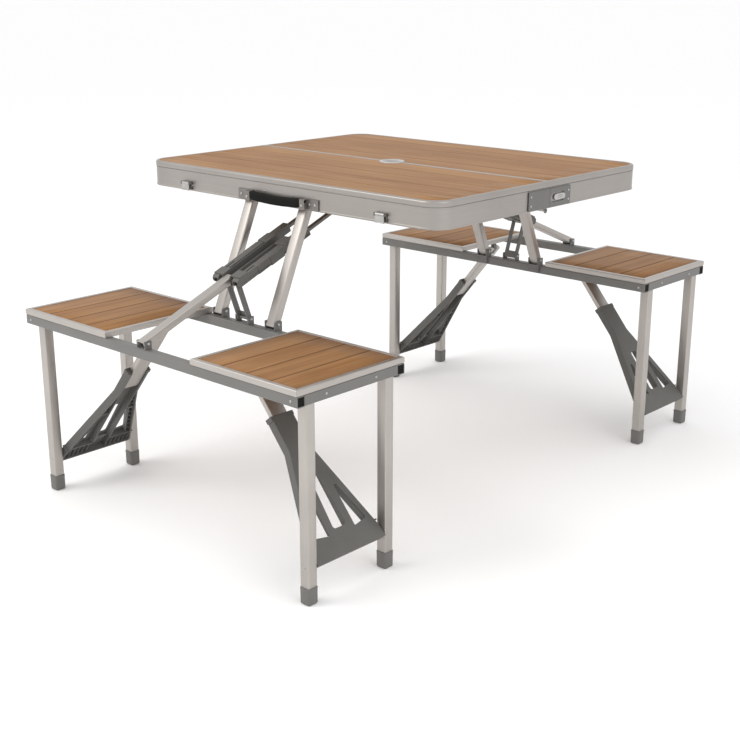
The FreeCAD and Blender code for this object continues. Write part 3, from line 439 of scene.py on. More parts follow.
def across_stations(low, high, lines):
    """Where the rows of a board lie: both edges, and five rows over each groove."""
    steps = np.array([-1.0, -0.5, 0.0, 0.5, 1.0]) * PLANK_GROOVE_HALF
    return np.sort(np.concatenate([[low, high], (lines[:, None] + steps).ravel()]))


def tabletop_board():
    """The upper face of one board. A row's half length is that of the rim's inside: full,
    and less a circle's sagitta past the corner's middle. The seam edge is a straight
    line with a half circle out of it under the umbrella ring."""
    outer = -HALF_WIDTH + RIM
    pitch = (HALF_WIDTH - RIM - SEAM_STRIP) / TOP_PLANKS
    lines = outer + pitch * np.arange(1, TOP_PLANKS)
    arc_rows = outer + (CORNER - RIM) * (1 - np.cos(np.linspace(0, math.pi / 2, 14)))
    y = np.unique(np.round(np.concatenate([across_stations(outer, -SEAM_STRIP, lines),
                                           arc_rows,
                                           np.linspace(-BOARD_UNDER_RING - 4 * mm,
                                                       -SEAM_STRIP, 8)]), 7))
    radius = CORNER - RIM
    past = np.clip(outer + radius - y, 0, radius)
    half = HALF_LENGTH - RIM - (radius - np.sqrt(radius ** 2 - past ** 2))
    notch = BOARD_UNDER_RING * np.cos(np.linspace(math.pi, 0, 19))
    share = np.sort(np.concatenate([np.linspace(-1, 1, 13), notch / half.max()]))
    share = np.unique(np.round(share, 9))
    x = half[:, None] * share[None, :]
    dip = np.sqrt(np.clip(BOARD_UNDER_RING ** 2 - x ** 2, 0, None))
    edge = -np.maximum(SEAM_STRIP, dip)
    rows = np.minimum(y[:, None], edge)
    z = np.broadcast_to((TABLE_TOP - BOARD_SUNK - groove_dip(y, lines))[:, None], x.shape)
    return skin(np.stack([x, rows, z], -1), around=False), pitch, outer


def thickened(thing, thickness):
    """Turn an open face upwards, as a sheet has no inside to point away from, and
    thicken it downwards into a closed board."""
    if thing.data.polygons[0].normal.z < 0:
        thing.data.flip_normals()
    solid = thing.modifiers.new("board", "SOLIDIFY")
    solid.thickness = thickness
    solid.offset = -1.0


board_face, top_pitch, top_outer = tabletop_board()
for (side, sign, _), origin in zip(SIDES, (top_outer, SEAM_STRIP)):
    wood = bamboo("bamboo, %s top" % side, "y", top_pitch, origin, 0.35)
    board = make_piece(side + "_top_board", side + "_tabletop", wood,
                       turned([board_face], sign), [side + "_tabletop_panel"], 20)
    thickened(board, BOARD_THICK - BOARD_SUNK - 0.4 * mm)

# ---- umbrella ring
# A silver moulded collar for a parasol pole, in two halves, one on each side of the
# seam. It stands a little proud of the boards and has a turned recess round its bore.
ring_low, ring_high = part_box("front_umbrella_ring_half")
RING_OUTER = ring_high.x
RING_BORE = 18 * mm
RING_GAP = 0.15 * mm


def two_tone(name, fine, slow, share, tones, rough, relief, **settings):
    """A skin of two noises, each given as its scale and detail. The fine one's share and
    the slow one's rest choose between two tones. Rough is what each adds to the
    roughness, and the roughness without them. Relief is the fine one's depth and
    strength."""
    finish = Finish(name, **settings)
    grain, clouds = [finish.noise(scale, detail=detail) for scale, detail in (fine, slow)]
    dark, light = tones
    finish.wear("Base Color", finish.blend((grain * share + clouds * (1 - share)).limited(),
                                           (*dark, 1), (*light, 1)))
    finish.wear("Roughness", grain * rough[0] + clouds * rough[1] + rough[2])
    finish.bump(grain, *relief)
    return finish.material


def ring_half():
    """Half a turned ring: a section of (radius, height) carried through half a turn."""
    base = ring_low.z
    top = ring_high.z
    section = np.array([
        (RING_BORE, base), (RING_BORE, top - 2.2 * mm), (RING_BORE + 0.6 * mm, top - 1.6 * mm),
        (RING_BORE + 2.6 * mm, top - 1.2 * mm), (RING_BORE + 3.2 * mm, top - 0.3 * mm),
        (RING_BORE + 3.8 * mm, top), (RING_OUTER - 2.4 * mm, top),
        (RING_OUTER - 1.2 * mm, top - 0.3 * mm), (RING_OUTER - 0.5 * mm, top - 1.0 * mm),
        (RING_OUTER - 0.2 * mm, top - 2.2 * mm), (RING_OUTER - 0.2 * mm, base)])
    angle = np.linspace(-math.pi, 0, 49)
    x = section[None, :, 0] * np.cos(angle)[:, None]
    y = section[None, :, 0] * np.sin(angle)[:, None] - RING_GAP
    z = np.broadcast_to(section[:, 1], x.shape)
    return skin(np.stack([x, y, z], -1), capped=True)


# silver-grey moulding with a fine metallic fleck
ring_finish = two_tone("silver plastic", (1900, 1.0), (30, 2.0), 0.5,
                       ((0.33, 0.325, 0.315), (0.55, 0.54, 0.53)), (0.08, 0.12, 0.30),
                       (0.03 * mm, 0.4), Metallic=0.35, Specular_IOR_Level=0.5)
make_copies(SIDES, "_umbrella_ring", "_tabletop", ring_finish,
            [ring_half()], ["_umbrella_ring_half"], 40)

# ---- seam hinges
# Pressed and rolled steel leaves riveted inside the seam walls, bright zinc plated, with
# the pins through their knuckles.
EYE_RADIUS = 5.3 * mm
EYE_BORE = 2.6 * mm
EYE_THICK = 2.2 * mm
EYE_DROP = 1.6 * mm


def zinc_plate(name, shade=1.0):
    """Bright zinc: a mottled spangle, and small changes of gloss."""
    tones = [tuple(shade * part for part in tone)
             for tone in ((0.30, 0.295, 0.285), (0.58, 0.57, 0.55))]
    return two_tone(name, (420, 3.0), (60, 2.0), 0.6, tones,
                    (0.22, 0.10, 0.18), (0.04 * mm, 0.5), Metallic=1.0)


def eased(node, body, material, width, segments=2):
    """A copy of a structural piece with its points welded, its flat faces joined up and
    every hard edge broken by a small round."""
    mesh = frame["nodes"][node].data.copy()
    if "sharp_face" in mesh.attributes:
        mesh.attributes.remove(mesh.attributes["sharp_face"])
    work = bmesh.new()
    work.from_mesh(mesh)
    bmesh.ops.remove_doubles(work, verts=work.verts, dist=2e-6)
    bmesh.ops.dissolve_limit(work, angle_limit=math.radians(1.0), verts=work.verts,
                             edges=work.edges)
    work.to_mesh(mesh)
    work.free()
    thing = hang(node + "_finished", mesh, body, material, [node], 35)
    edge = thing.modifiers.new("broken edges", "BEVEL")
    edge.width = width
    edge.segments = segments
    edge.limit_method = "ANGLE"
    edge.angle_limit = math.radians(40)
    edge.harden_normals = True


def eased_copies(places, node, body, material, width, segments=2):
    """The same treatment of one node at each place."""
    for label, _, _ in places:
        eased(label + node, label + body, material, width, segments)


def spokes(axis, count):
    """Unit vectors square to an axis, evenly round it."""
    side = unit(np.cross(axis, (0.31, 0.52, 0.79)))
    up = np.cross(axis, side)
    angle = np.linspace(0, 2 * math.pi, count + 1)[:-1]
    return np.cos(angle)[:, None] * side + np.sin(angle)[:, None] * up


def washer(middle, axis, outer, bore, thick):
    """A turned ring with rounded rims: a section of (radius, height) carried round."""
    axis = unit(axis)
    rim = 0.25 * thick
    section = np.array([(bore, rim), (bore + rim, 0), (outer - rim, 0), (outer, rim),
                        (outer, thick - rim), (outer - rim, thick), (bore + rim, thick),
                        (bore, thick - rim)])
    rows = (section[:, 0][:, None, None] * spokes(axis, 24)
            + section[:, 1][:, None, None] * axis)
    return skin(np.asarray(middle, float) + rows, closed=True)


zinc = zinc_plate("zinc plate")
dark_zinc = zinc_plate("dark zinc plate", 0.45)
hinge_axis = joints["table_fold"]["pos_m"]
eased_copies(SIDES, "_seam_hinges", "_tabletop", zinc, 0.25 * mm)
hinge_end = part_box("front_seam_hinges")[1].x
eyes = [washer((end * (hinge_end - 0.2 * mm), 0, hinge_axis[2] - EYE_DROP), (end, 0, 0),
               EYE_RADIUS, EYE_BORE, EYE_THICK) for end in (-1, 1)]
make_piece("seam_hinge_eyes", "front_tabletop", dark_zinc, eyes)

# ---- end plates and lock
# Flat steel plates, powder coated dark grey, riveted over both ends of the seam. The
# rear plates have an oval slot with a moulded knob that slides across to lock the top.
ENDS = (("left", -1.0), ("right", 1.0))
PLATE_RIVET_INSET = 7 * mm
PLATE_RIVET_RISE = 9 * mm
KNOB_RIDGES = 4
KNOB_RIDGE_PITCH = 4.5 * mm
KNOB_RIDGE_HIGH = 1.6 * mm


def powder_coat(name, dark=(0.098, 0.095, 0.090), light=(0.150, 0.146, 0.139)):
    """Powder-coated steel: an orange-peel skin, slow changes of tone and fine dust."""
    finish = Finish(name, Specular_IOR_Level=0.5)
    peel = finish.noise(900, detail=1.0)
    clouds = finish.noise(14, detail=3.0)
    dust = finish.noise(2600, detail=1.0)
    finish.wear("Base Color", finish.blend((clouds * 0.7 + dust * 0.3).limited(),
                                           (*dark, 1), (*light, 1)))
    finish.wear("Roughness", clouds * 0.14 + peel * 0.08 + 0.32)
    finish.bump(peel * 0.8 + dust * 0.2, 0.06 * mm, 0.45)
    return finish.material


RIVET_SECTION = np.array([(0.0, -0.35), (1.0, -0.35), (1.0, 0.25), (0.94, 0.58), (0.78, 0.86),
                          (0.52, 1.0), (0.32, 1.0), (0.24, 0.72), (0.0, 0.72)])


def rivet(middle, axis, radius=2.6 * mm, height=1.3 * mm):
    """The head of a blind rivet: a low dome with a dimple, turned about its axis."""
    axis = unit(axis)
    out = RIVET_SECTION[:, 0][:, None, None] * radius * spokes(axis, 14)
    rise = RIVET_SECTION[:, 1][:, None, None] * height * axis
    return skin(np.asarray(middle, float) + out + rise)


def middle_of(box):
    """The middle of a box, from its low and high corners."""
    return [(low + high) / 2 for low, high in zip(*box)]


plate_coat = powder_coat("dark grey powder coat")
plate_low, plate_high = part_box("front_end_plates")
plate_middle = middle_of((plate_low, plate_high))[2]
plate_rivets = [rivet((end * plate_high.x, plate_low.y + PLATE_RIVET_INSET,
                       plate_middle + rise), (end, 0, 0), 2.4 * mm, 1.1 * mm)
                for end in (-1, 1) for rise in (-PLATE_RIVET_RISE, PLATE_RIVET_RISE)]
eased_copies(SIDES, "_end_plates", "_tabletop", plate_coat, 0.35 * mm)
make_copies(SIDES, "_end_plate_rivets", "_tabletop", zinc, plate_rivets)

for tag, end in ENDS:
    low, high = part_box("lock_knob_" + tag)
    inner, outer = (low.x, high.x) if end > 0 else (high.x, low.x)
    _, middle_y, middle_z = middle_of((low, high))
    height = high.z - low.z
    knob = [bar((inner, middle_y, middle_z), (outer - end * 1.0 * mm, middle_y, middle_z),
                (0, 1, 0), high.y - low.y, height, height / 2, 0.8 * mm)]
    for k in range(KNOB_RIDGES):
        y = middle_y + (k - (KNOB_RIDGES - 1) / 2) * KNOB_RIDGE_PITCH
        knob.append(bar((outer - end * KNOB_RIDGE_HIGH, y, middle_z), (outer, y, middle_z),
                        (0, 1, 0), 1.8 * mm, height * 0.62, 0.85 * mm, 0.5 * mm))
    make_piece("lock_knob_%s_moulding" % tag, "lock_knob_" + tag, ring_finish,
               knob, ["lock_knob_" + tag])

# ---- carrying handle
# Two light grey die-cast brackets, each on two rivets, and a soft black grip that sags a
# little between them. The case hangs from it when the table is folded.
grip_low, grip_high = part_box("handle_grip")
hold_low, hold_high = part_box("handle_brackets")
GRIP_HALF = 72 * mm
GRIP_SAG = 3 * mm
GRIP_ROUND = 4.2 * mm
PIN_THICK = 6 * mm
GRIP_THICK = grip_high.y - grip_low.y
GRIP_TALL = grip_high.z - grip_low.z - GRIP_SAG
grip_middle_y = (grip_low.y + grip_high.y) / 2


def grip_strap():
    """The strap: a rounded section carried along x. Its middle line drops by a cosine of
    the place along it, and the section swells a little in the middle and thins at the
    ends, which close on their middles."""
    share = np.concatenate([[-1.0], -np.cos(np.linspace(0.12, math.pi - 0.12, 33)), [1.0]])
    x = share * GRIP_HALF
    centre_z = grip_high.z - GRIP_TALL / 2 - GRIP_SAG * np.cos(share * math.pi / 2)
    size = 0.80 + 0.20 * np.clip((1 - np.abs(share)) * 12, 0, 1)
    outline = rounded(GRIP_THICK, GRIP_TALL, GRIP_ROUND, steps=7)
    y = grip_middle_y + outline[None, :, 0] * size[:, None]
    z = centre_z[:, None] + outline[None, :, 1] * size[:, None]
    x = np.broadcast_to(x[:, None], y.shape)
    rows = np.stack([x, y, z], -1)
    first = np.broadcast_to(rows[0].mean(0), rows[:1].shape)
    last = np.broadcast_to(rows[-1].mean(0), rows[:1].shape)
    return skin(np.concatenate([first, rows, last]))


# black soft plastic: a fine leather-like grain with a low sheen
black = two_tone("soft black", (1100, 2.0), (25, 2.0), 0.0,
                 ((0.004, 0.004, 0.004), (0.009, 0.009, 0.008)), (0.16, 0.10, 0.50),
                 (0.08 * mm, 0.5), Specular_IOR_Level=0.12)
pivot = joints["handle_swing"]["pos_m"]
grip_pins = [bar((end * (GRIP_HALF - 4 * mm), pivot[1], pivot[2]),
                 (end * (GRIP_HALF + 12 * mm), pivot[1], pivot[2]),
                 (0, 1, 0), PIN_THICK, PIN_THICK, 2.99 * mm, 0.5 * mm) for end in (-1, 1)]
make_piece("handle_grip_strap", "handle_grip", black,
           [grip_strap()] + grip_pins, ["handle_grip"], 40)
cast_grey = satin_aluminium("cast aluminium", 900, shade=0.50)
eased("handle_brackets", "front_tabletop", cast_grey, 0.6 * mm, 3)
bracket_z = (hold_low.z + hold_high.z) / 2
wall_y = -HALF_WIDTH + WALL_SET_BACK
tab_y = -HALF_WIDTH - 2 * mm
# for each rivet: its distance from the middle, y, height, radius and rise
rivet_places = [(GRIP_HALF + 8 * mm, hold_low.y, bracket_z - 2 * mm, 3.0, 1.2),
                (hold_high.x - 9 * mm, tab_y, bracket_z, 3.0, 1.6),
                (hold_high.x - 24 * mm, tab_y, bracket_z, 2.2, 1.2),
                (41 * mm, wall_y, TABLE_TOP - 29 * mm, 1.8, 1.0)]
handle_rivets = [rivet((end * x, y, z), (0, -1, 0), radius * mm, rise * mm)
                 for end in (-1, 1) for x, y, z, radius, rise in rivet_places]
make_piece("handle_rivets", "front_tabletop", zinc, handle_rivets)

# ---- latches
# Small pressed steel draw latches: a base with two rivets and a flip lever on the front
# frame, and a keeper on the rear frame that the lever hooks over when the case is shut.
LATCH_RIVET_APART = 16 * mm
LATCH_RIVET_HEIGHT = 12 * mm
ROLL_THICK = 2.0 * mm
ROLL_RISE = 1.4 * mm
eased("latch_bases", "front_tabletop", cast_grey, 0.3 * mm)
eased("latch_keepers", "rear_tabletop", cast_grey, 0.3 * mm)
latch_rivets = []
for tag, _ in ENDS:
    lever = "latch_lever_" + tag
    eased(lever, lever, zinc, 0.3 * mm)
    low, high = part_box(lever)
    x = (low.x + high.x) / 2
    for shift in (-LATCH_RIVET_APART, LATCH_RIVET_APART):
        latch_rivets.append(rivet((x + shift, wall_y, TRAY_FLOOR + LATCH_RIVET_HEIGHT),
                                  (0, -1, 0), 2.4 * mm, 1.5 * mm))
    roll_y = low.y + 0.4 * mm
    roll_z = low.z + ROLL_RISE
    tongue = [bar((low.x + 3 * mm, roll_y, roll_z), (high.x - 3 * mm, roll_y, roll_z),
                  (0, 1, 0), ROLL_THICK, ROLL_THICK, 0.99 * mm, 0.4 * mm)]
    make_piece(lever + "_roll", lever, zinc, tongue)
make_piece("latch_rivets", "front_tabletop", zinc, latch_rivets)

# ---- brackets underneath
# Folded steel brackets under each board: two hinge the arms, and an open saddle holds
# the two rods of the stay.
eased_copies(SIDES, "_underside_brackets", "_tabletop", plate_coat, 0.35 * mm)

# ---- bench rails
# Square steel tubes, powder coated grey, with open ends closed by black plugs. End bars
# join them, each held by rivets, and carry the rods that the legs turn on.
rail_low, rail_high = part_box("front_bench_outer_rail")
RAIL = rail_high.z - rail_low.z
TUBE_WALL = 1.5 * mm
RAIL_ROUND = 2.2 * mm
RIVET_PROUD = 1.2 * mm
RAIL_RIVET_INSET = 16 * mm
BENCH_HALF = rail_high.x


def pipe(start, end, side, width, height, corner, wall):
    """A tube with open ends: the outer outline from start to end and the inner one back,
    joined round as one closed skin. A narrow bevel breaks each end's outer edge."""
    start, end, side, axis, up = bar_axes(start, end, side)
    soft = 0.3 * mm
    outer = rounded(width, height, corner)
    broken = rounded(width, height, corner, soft)
    inner = rounded(width, height, corner, wall)
    rows = [laid(broken, start, side, up), laid(outer, start + axis * soft, side, up),
            laid(outer, end - axis * soft, side, up), laid(broken, end, side, up),
            laid(inner, end, side, up), laid(inner, start, side, up)]
    return skin(np.stack(rows), closed=True)


rail_coat = powder_coat("grey powder coat", (0.115, 0.111, 0.104), (0.175, 0.170, 0.161))
for side, _, _ in SIDES:
    for place in ("outer", "inner"):
        node = "%s_bench_%s_rail" % (side, place)
        low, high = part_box(node)
        _, y, z = middle_of((low, high))
        set_back = math.copysign(RIVET_PROUD / 2, y) if place == "outer" else 0.0
        wide = RAIL - 2 * abs(set_back)
        make_piece(node + "_tube", side + "_bench", rail_coat,
                   [pipe((low.x, y - set_back, z), (high.x, y - set_back, z), (0, 1, 0),
                         wide, RAIL, RAIL_ROUND, TUBE_WALL)], [node])
eased_copies(SIDES, "_bench_end_bars", "_bench", rail_coat, 0.5 * mm)
eased_copies(SIDES, "_rail_plugs", "_bench", black, 0.6 * mm)

bench_outer = -rail_low.y
bench_inner = -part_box("front_bench_inner_rail")[1].y
bench_middle_z = (rail_low.z + rail_high.z) / 2
span = bench_outer - bench_inner
bench_rivets = []
for end in (-1, 1):
    for share in (0.26, 0.72):
        bench_rivets.append(rivet((end * BENCH_HALF, -bench_outer + span * share,
                                   bench_middle_z + 1 * mm), (end, 0, 0), 2.6 * mm, 1.2 * mm))
    rivet_x = end * (BENCH_HALF - RAIL_RIVET_INSET)
    bench_rivets.append(rivet((rivet_x, RIVET_PROUD - bench_outer, bench_middle_z),
                              (0, -1, 0), 2.6 * mm, 0.95 * RIVET_PROUD))
    bench_rivets.append(rivet((rivet_x, -bench_inner, bench_middle_z), (0, 1, 0),
                              2.6 * mm, 1.2 * mm))
make_copies(SIDES, "_bench_rivets", "_bench", zinc, bench_rivets)

# ---- seats
# Each seat is a small frame of four aluminium strips, mitred at the corners, round a
# fibreboard panel faced with four bamboo planks that run across the bench.
seat_low, seat_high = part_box("front_seat_edges")
SEAT_LENGTH = 278 * mm
SEAT_RIM = 10 * mm
SEAT_LEDGE = 17 * mm
SEAT_BOARD = 5 * mm
SEAT_ROUND = 2.4 * mm
SEAT_PLANKS = 4
SEAT_HEIGHT = seat_high.z - seat_low.z
MITRE_GAP = 0.12 * mm
SHADOW_IN = 1.6 * mm
SHADOW_TALL = 1.2 * mm


def seat_profile():
    """The strip's section as (distance in, height): shadow gap over the rail, outer face,
    round nose, rim and ledge."""
    nose = quarter((SEAT_ROUND, SEAT_HEIGHT - SEAT_ROUND), SEAT_ROUND, 90)[::-1]
    return np.concatenate([
        [(SHADOW_IN, 0), (SHADOW_IN, SHADOW_TALL), (0.3 * mm, SHADOW_TALL),
         (0, SHADOW_TALL + 0.3 * mm)], nose,
        [(SEAT_RIM - 0.4 * mm, SEAT_HEIGHT), (SEAT_RIM, SEAT_HEIGHT - 0.4 * mm),
         (SEAT_RIM, SEAT_HEIGHT - SEAT_BOARD), (SEAT_LEDGE, SEAT_HEIGHT - SEAT_BOARD),
         (SEAT_LEDGE, 0)]])


def seat_strips(middle_x, middle_y, half_x, half_y):
    """Four strips round a rectangle. Each runs between two corners, and the section's
    distance in shortens it at both ends by the same amount, which cuts the mitres."""
    profile = seat_profile()
    inset = profile[:, 0]
    height = seat_low.z + profile[:, 1]
    skins = []
    for quarter_turn in range(4):
        angle = quarter_turn * math.pi / 2
        out = np.array([math.cos(angle), math.sin(angle)])
        run = np.array([-math.sin(angle), math.cos(angle)])
        reach, half_run = (half_x, half_y) if quarter_turn % 2 == 0 else (half_y, half_x)
        rows = []
        for end in (-1, 1):
            flat = ((reach - inset)[:, None] * out
                    + end * (half_run - inset - MITRE_GAP)[:, None] * run)
            rows.append(np.column_stack([middle_x + flat[:, 0], middle_y + flat[:, 1], height]))
        skins.append(skin(np.stack(rows), capped=True))
    return skins


def seat_board(middle_x, middle_y, half_x, half_y):
    """The upper face of a seat panel, with a V groove between each two planks."""
    pitch = 2 * half_x / SEAT_PLANKS
    lines = middle_x - half_x + pitch * np.arange(1, SEAT_PLANKS)
    x = across_stations(middle_x - half_x, middle_x + half_x, lines)
    y = np.linspace(middle_y - half_y, middle_y + half_y, 5)
    z = seat_high.z - 0.5 * mm - groove_dip(x, lines)
    grid = np.broadcast_arrays(x[:, None], y[None, :], z[:, None])
    return skin(np.stack(grid, -1), around=False)


seat_metal = satin_aluminium("satin aluminium, seats", (60, 60, 1200))
seat_half_x = SEAT_LENGTH / 2
seat_half_y = (seat_high.y - seat_low.y) / 2
seat_pitch = 2 * (seat_half_x - SEAT_RIM) / SEAT_PLANKS
for side, _, _ in SIDES:
    _, middle_y, _ = middle_of(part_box(side + "_seat_edges"))
    strips = []
    for tag, end in ENDS:
        middle_x = end * (BENCH_HALF - seat_half_x)
        strips += seat_strips(middle_x, middle_y, seat_half_x, seat_half_y)
        face = seat_board(middle_x, middle_y, seat_half_x - SEAT_RIM, seat_half_y - SEAT_RIM)
        # the last number is the half width of the painted shade band over each seat groove
        wood = bamboo("bamboo, %s %s seat" % (side, tag), "x", seat_pitch,
                      middle_x - (seat_half_x - SEAT_RIM), 0.3, 1.5 * mm)
        replaced = [side + "_seat_panels"] if end < 0 else []
        panel = make_piece("%s_%s_seat_board" % (side, tag), side + "_bench", wood,
                           [face], replaced, 20)
        thickened(panel, SEAT_BOARD - 0.8 * mm)
    make_piece(side + "_seat_strips", side + "_bench", seat_metal,
               strips, [side + "_seat_edges"], 30)

# ---- brackets on the rails
# Folded steel feet for the arms, the stay and the fork link, and the lugs of the leg
# struts, all powder coated and riveted through their cheeks.
arm_low, arm_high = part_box("front_arms")
ARM_WIDE = 24 * mm
ARM_THICK = 18 * mm
arm_places = (arm_low.x + ARM_WIDE / 2, arm_high.x - ARM_WIDE / 2)
arm_top = np.array(joints["front_bench_fold"]["pos_m"])
arm_foot = np.array(joints["front_bench_level"]["pos_m"])
stay_foot = np.array(joints["front_stay_swing"]["pos_m"])
fork_foot = np.array(joints["front_fork_swing"]["pos_m"])
# how far the outer faces of the cheeks stand from the middle of what they hold
ARM_CHEEK = 16 * mm
STAY_CHEEK = 14 * mm
FORK_CHEEK = 20.6 * mm
held = [((x, *arm_foot[1:]), ARM_CHEEK) for x in arm_places]
held += [(stay_foot, STAY_CHEEK), (fork_foot, FORK_CHEEK)]
foot_rivets = [rivet((x + end * cheek, y, z), (end, 0, 0), 3.2 * mm, 1.3 * mm)
               for (x, y, z), cheek in held for end in (-1, 1)]
eased_copies(SIDES, "_bench_brackets", "_bench", plate_coat, 0.35 * mm)
make_copies(SIDES, "_bracket_rivets", "_bench", zinc, foot_rivets)

# ---- arms
# Flat-sided aluminium tubes with rounded corners, two for each bench. Their ends are
# flattened round and drilled for the pivot pins.
arm_axis = unit(arm_foot - arm_top)
ARM_END = 8.6 * mm
arm_tilt = math.atan2(-arm_axis[1], -arm_axis[2])
tubes = [bar((x, *(arm_top - arm_axis * ARM_END)[1:]),
             (x, *(arm_foot + arm_axis * ARM_END)[1:]), (1, 0, 0), ARM_WIDE, ARM_THICK,
             3.2 * mm, 3.0 * mm) for x in arm_places]
for side, sign, _ in SIDES:
    metal = satin_aluminium("satin aluminium, %s arms" % side, (900, 900, 5),
                            (sign * arm_tilt, 0, 0))
    make_piece(side + "_arm_tubes", side + "_arms", metal,
               turned(tubes, sign), [side + "_arms"], 40)

# ---- telescopic stays
# A square aluminium tube from the outer rail slides in a grey moulded bracket. Two flat
# steel rods slide in the bracket's side channels, and a steel fork props its nose.
stay_axis = unit(joints["front_slide_travel"]["axis"])
stay_up = np.cross((1.0, 0.0, 0.0), stay_axis)
STAY_WIDE = 20 * mm
STAY_THICK = 16 * mm
STAY_LENGTH = 238 * mm
STAY_END = 7.6 * mm
SLIDE_START = 222 * mm
SLIDE_LENGTH = 215 * mm
CHANNEL = 29.5 * mm
CHANNEL_WIDE = 17.2 * mm
CHANNEL_TALL = 18.6 * mm
COLLAR_WALL = 1.9 * mm
BEAD_OUT = 38.2 * mm
THUMB_RIBS = 4
THUMB_RIB_PITCH = 6.5 * mm
stay_tilt = math.atan2(stay_axis[2], stay_axis[1])


def moulded_grey(name, dark=(0.085, 0.082, 0.076), light=(0.135, 0.131, 0.122)):
    """Grey moulded polypropylene: a fine spark-eroded grain and faint flow marks."""
    return two_tone(name, (1400, 2.0), ((22, 22, 8), 3.0), 0.25, (dark, light),
                    (0.14, 0.12, 0.38), (0.07 * mm, 0.5), Specular_IOR_Level=0.42)


bracket_plastic = moulded_grey("grey moulded plastic")


def on_stay(along, across, rise):
    """A point on the stay: along its line from the foot pivot, across in x, and up."""
    return (stay_foot + stay_axis * along + np.array([across, 0, 0]) + stay_up * rise)


# moulded details of the bracket: two stepped collars round each channel, a bead along
# each channel's outer wall and a row of thumb ribs on the plate where the trough ends
collars = []
for end in (-1, 1):
    for start, stop, grow in ((0.27, 0.44, 1.2 * mm), (0.44, 0.62, 2.3 * mm)):
        first, last = [on_stay(SLIDE_START + SLIDE_LENGTH * share,
                               end * (CHANNEL + grow / 2), -0.4 * grow)
                       for share in (start, stop)]
        collars.append(pipe(first, last, (1, 0, 0), CHANNEL_WIDE + grow, CHANNEL_TALL + grow,
                            2.6 * mm, COLLAR_WALL))
    first, last = [on_stay(along, end * BEAD_OUT, -6.0 * mm)
                   for along in (SLIDE_START + 12 * mm, SLIDE_START + SLIDE_LENGTH - 3 * mm)]
    collars.append(bar(first, last, (1, 0, 0), 2.2 * mm, 3.0 * mm, 1.0 * mm, 1.0 * mm))
    for k in range(THUMB_RIBS):
        at = SLIDE_START + SLIDE_LENGTH * 0.66 + k * THUMB_RIB_PITCH
        first, last = [on_stay(at, end * across, 11.6 * mm) for across in (20 * mm, 36 * mm)]
        collars.append(bar(first, last, (0, 1, 0), 2.0 * mm, 2.0 * mm, 0.9 * mm, 0.8 * mm))
stay = [pipe(on_stay(-STAY_END, 0, 0), on_stay(STAY_LENGTH, 0, 0), (1, 0, 0), STAY_WIDE,
             STAY_THICK, 2.6 * mm, TUBE_WALL)]
for side, sign, _ in SIDES:
    metal = satin_aluminium("satin aluminium, %s stay" % side, (900, 5, 900),
                            (sign * stay_tilt, 0, 0))
    make_piece(side + "_stay_square_tube", side + "_stay_tube", metal,
               turned(stay, sign), [side + "_stay_tube"], 40)
make_copies(SIDES, "_slide_collars", "_slide_bracket", bracket_plastic, collars)
eased_copies(SIDES, "_slide_bracket", "_slide_bracket", bracket_plastic,
             0.8 * mm, 3)
eased_copies(SIDES, "_stay_rods", "_stay_rods", plate_coat, 0.5 * mm)
eased_copies(SIDES, "_fork_link", "_fork_link", plate_coat, 0.6 * mm, 3)

# ---- legs and foot caps
# Square aluminium tubes that turn on rods in the end bars, a rivet at the brace pivot
# near the foot of each, and grey rubber caps with a softened tread.
BENCH_CENTRE = (seat_high.y + seat_low.y) / 2
leg_low, leg_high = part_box("front_right_legs")
LEG = 22 * mm
LEG_X = (leg_low.x + leg_high.x) / 2
LEG_TOP = leg_high.z
CAP_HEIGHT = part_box("front_right_foot_caps")[1].z
CAP = 25 * mm
CAP_ROUND = 4 * mm
CAP_DEPTH = 8 * mm
LEG_ROUND = 2.6 * mm
PIVOT_HEIGHT = 72 * mm
leg_places = (leg_low.y + LEG / 2, leg_high.y - LEG / 2)
LEG_SETS = (("front_right", 1, 0.0), ("front_left", -1, 2 * BENCH_CENTRE),
            ("rear_left", -1, 0.0), ("rear_right", 1, -2 * BENCH_CENTRE))


def foot_cap(x, y):
    """A cap: the outline grows from the sole by a quarter circle, runs straight up, and
    turns over a narrow rim down to the leg."""
    turn = np.linspace(0, math.pi / 2, 6)
    levels = [(CAP_ROUND * (1 - math.cos(t)), CAP_ROUND * (1 - math.sin(t)) + 0.5 * mm)
              for t in turn]
    levels += [(CAP_HEIGHT * 0.72, 0.35 * mm), (CAP_HEIGHT - 2.4 * mm, 0.05 * mm),
               (CAP_HEIGHT - 0.6 * mm, 0.1 * mm), (CAP_HEIGHT, 0.7 * mm),
               (CAP_HEIGHT, (CAP - LEG) / 2 - 0.1 * mm)]
    rows = [laid(rounded(CAP, CAP, 4.6 * mm, inset), (x, y, z), (1, 0, 0), (0, 1, 0))
            for z, inset in levels]
    columns = len(rows[0])
    sole = np.tile((x, y, 0.0), (columns, 1))
    bottom = (x, y, CAP_HEIGHT - CAP_DEPTH)
    inside = laid(rounded(LEG, LEG, LEG_ROUND, 0.1 * mm), bottom, (1, 0, 0), (0, 1, 0))
    floor = np.tile(bottom, (columns, 1))
    return skin(np.stack([sole] + rows + [inside, floor]))


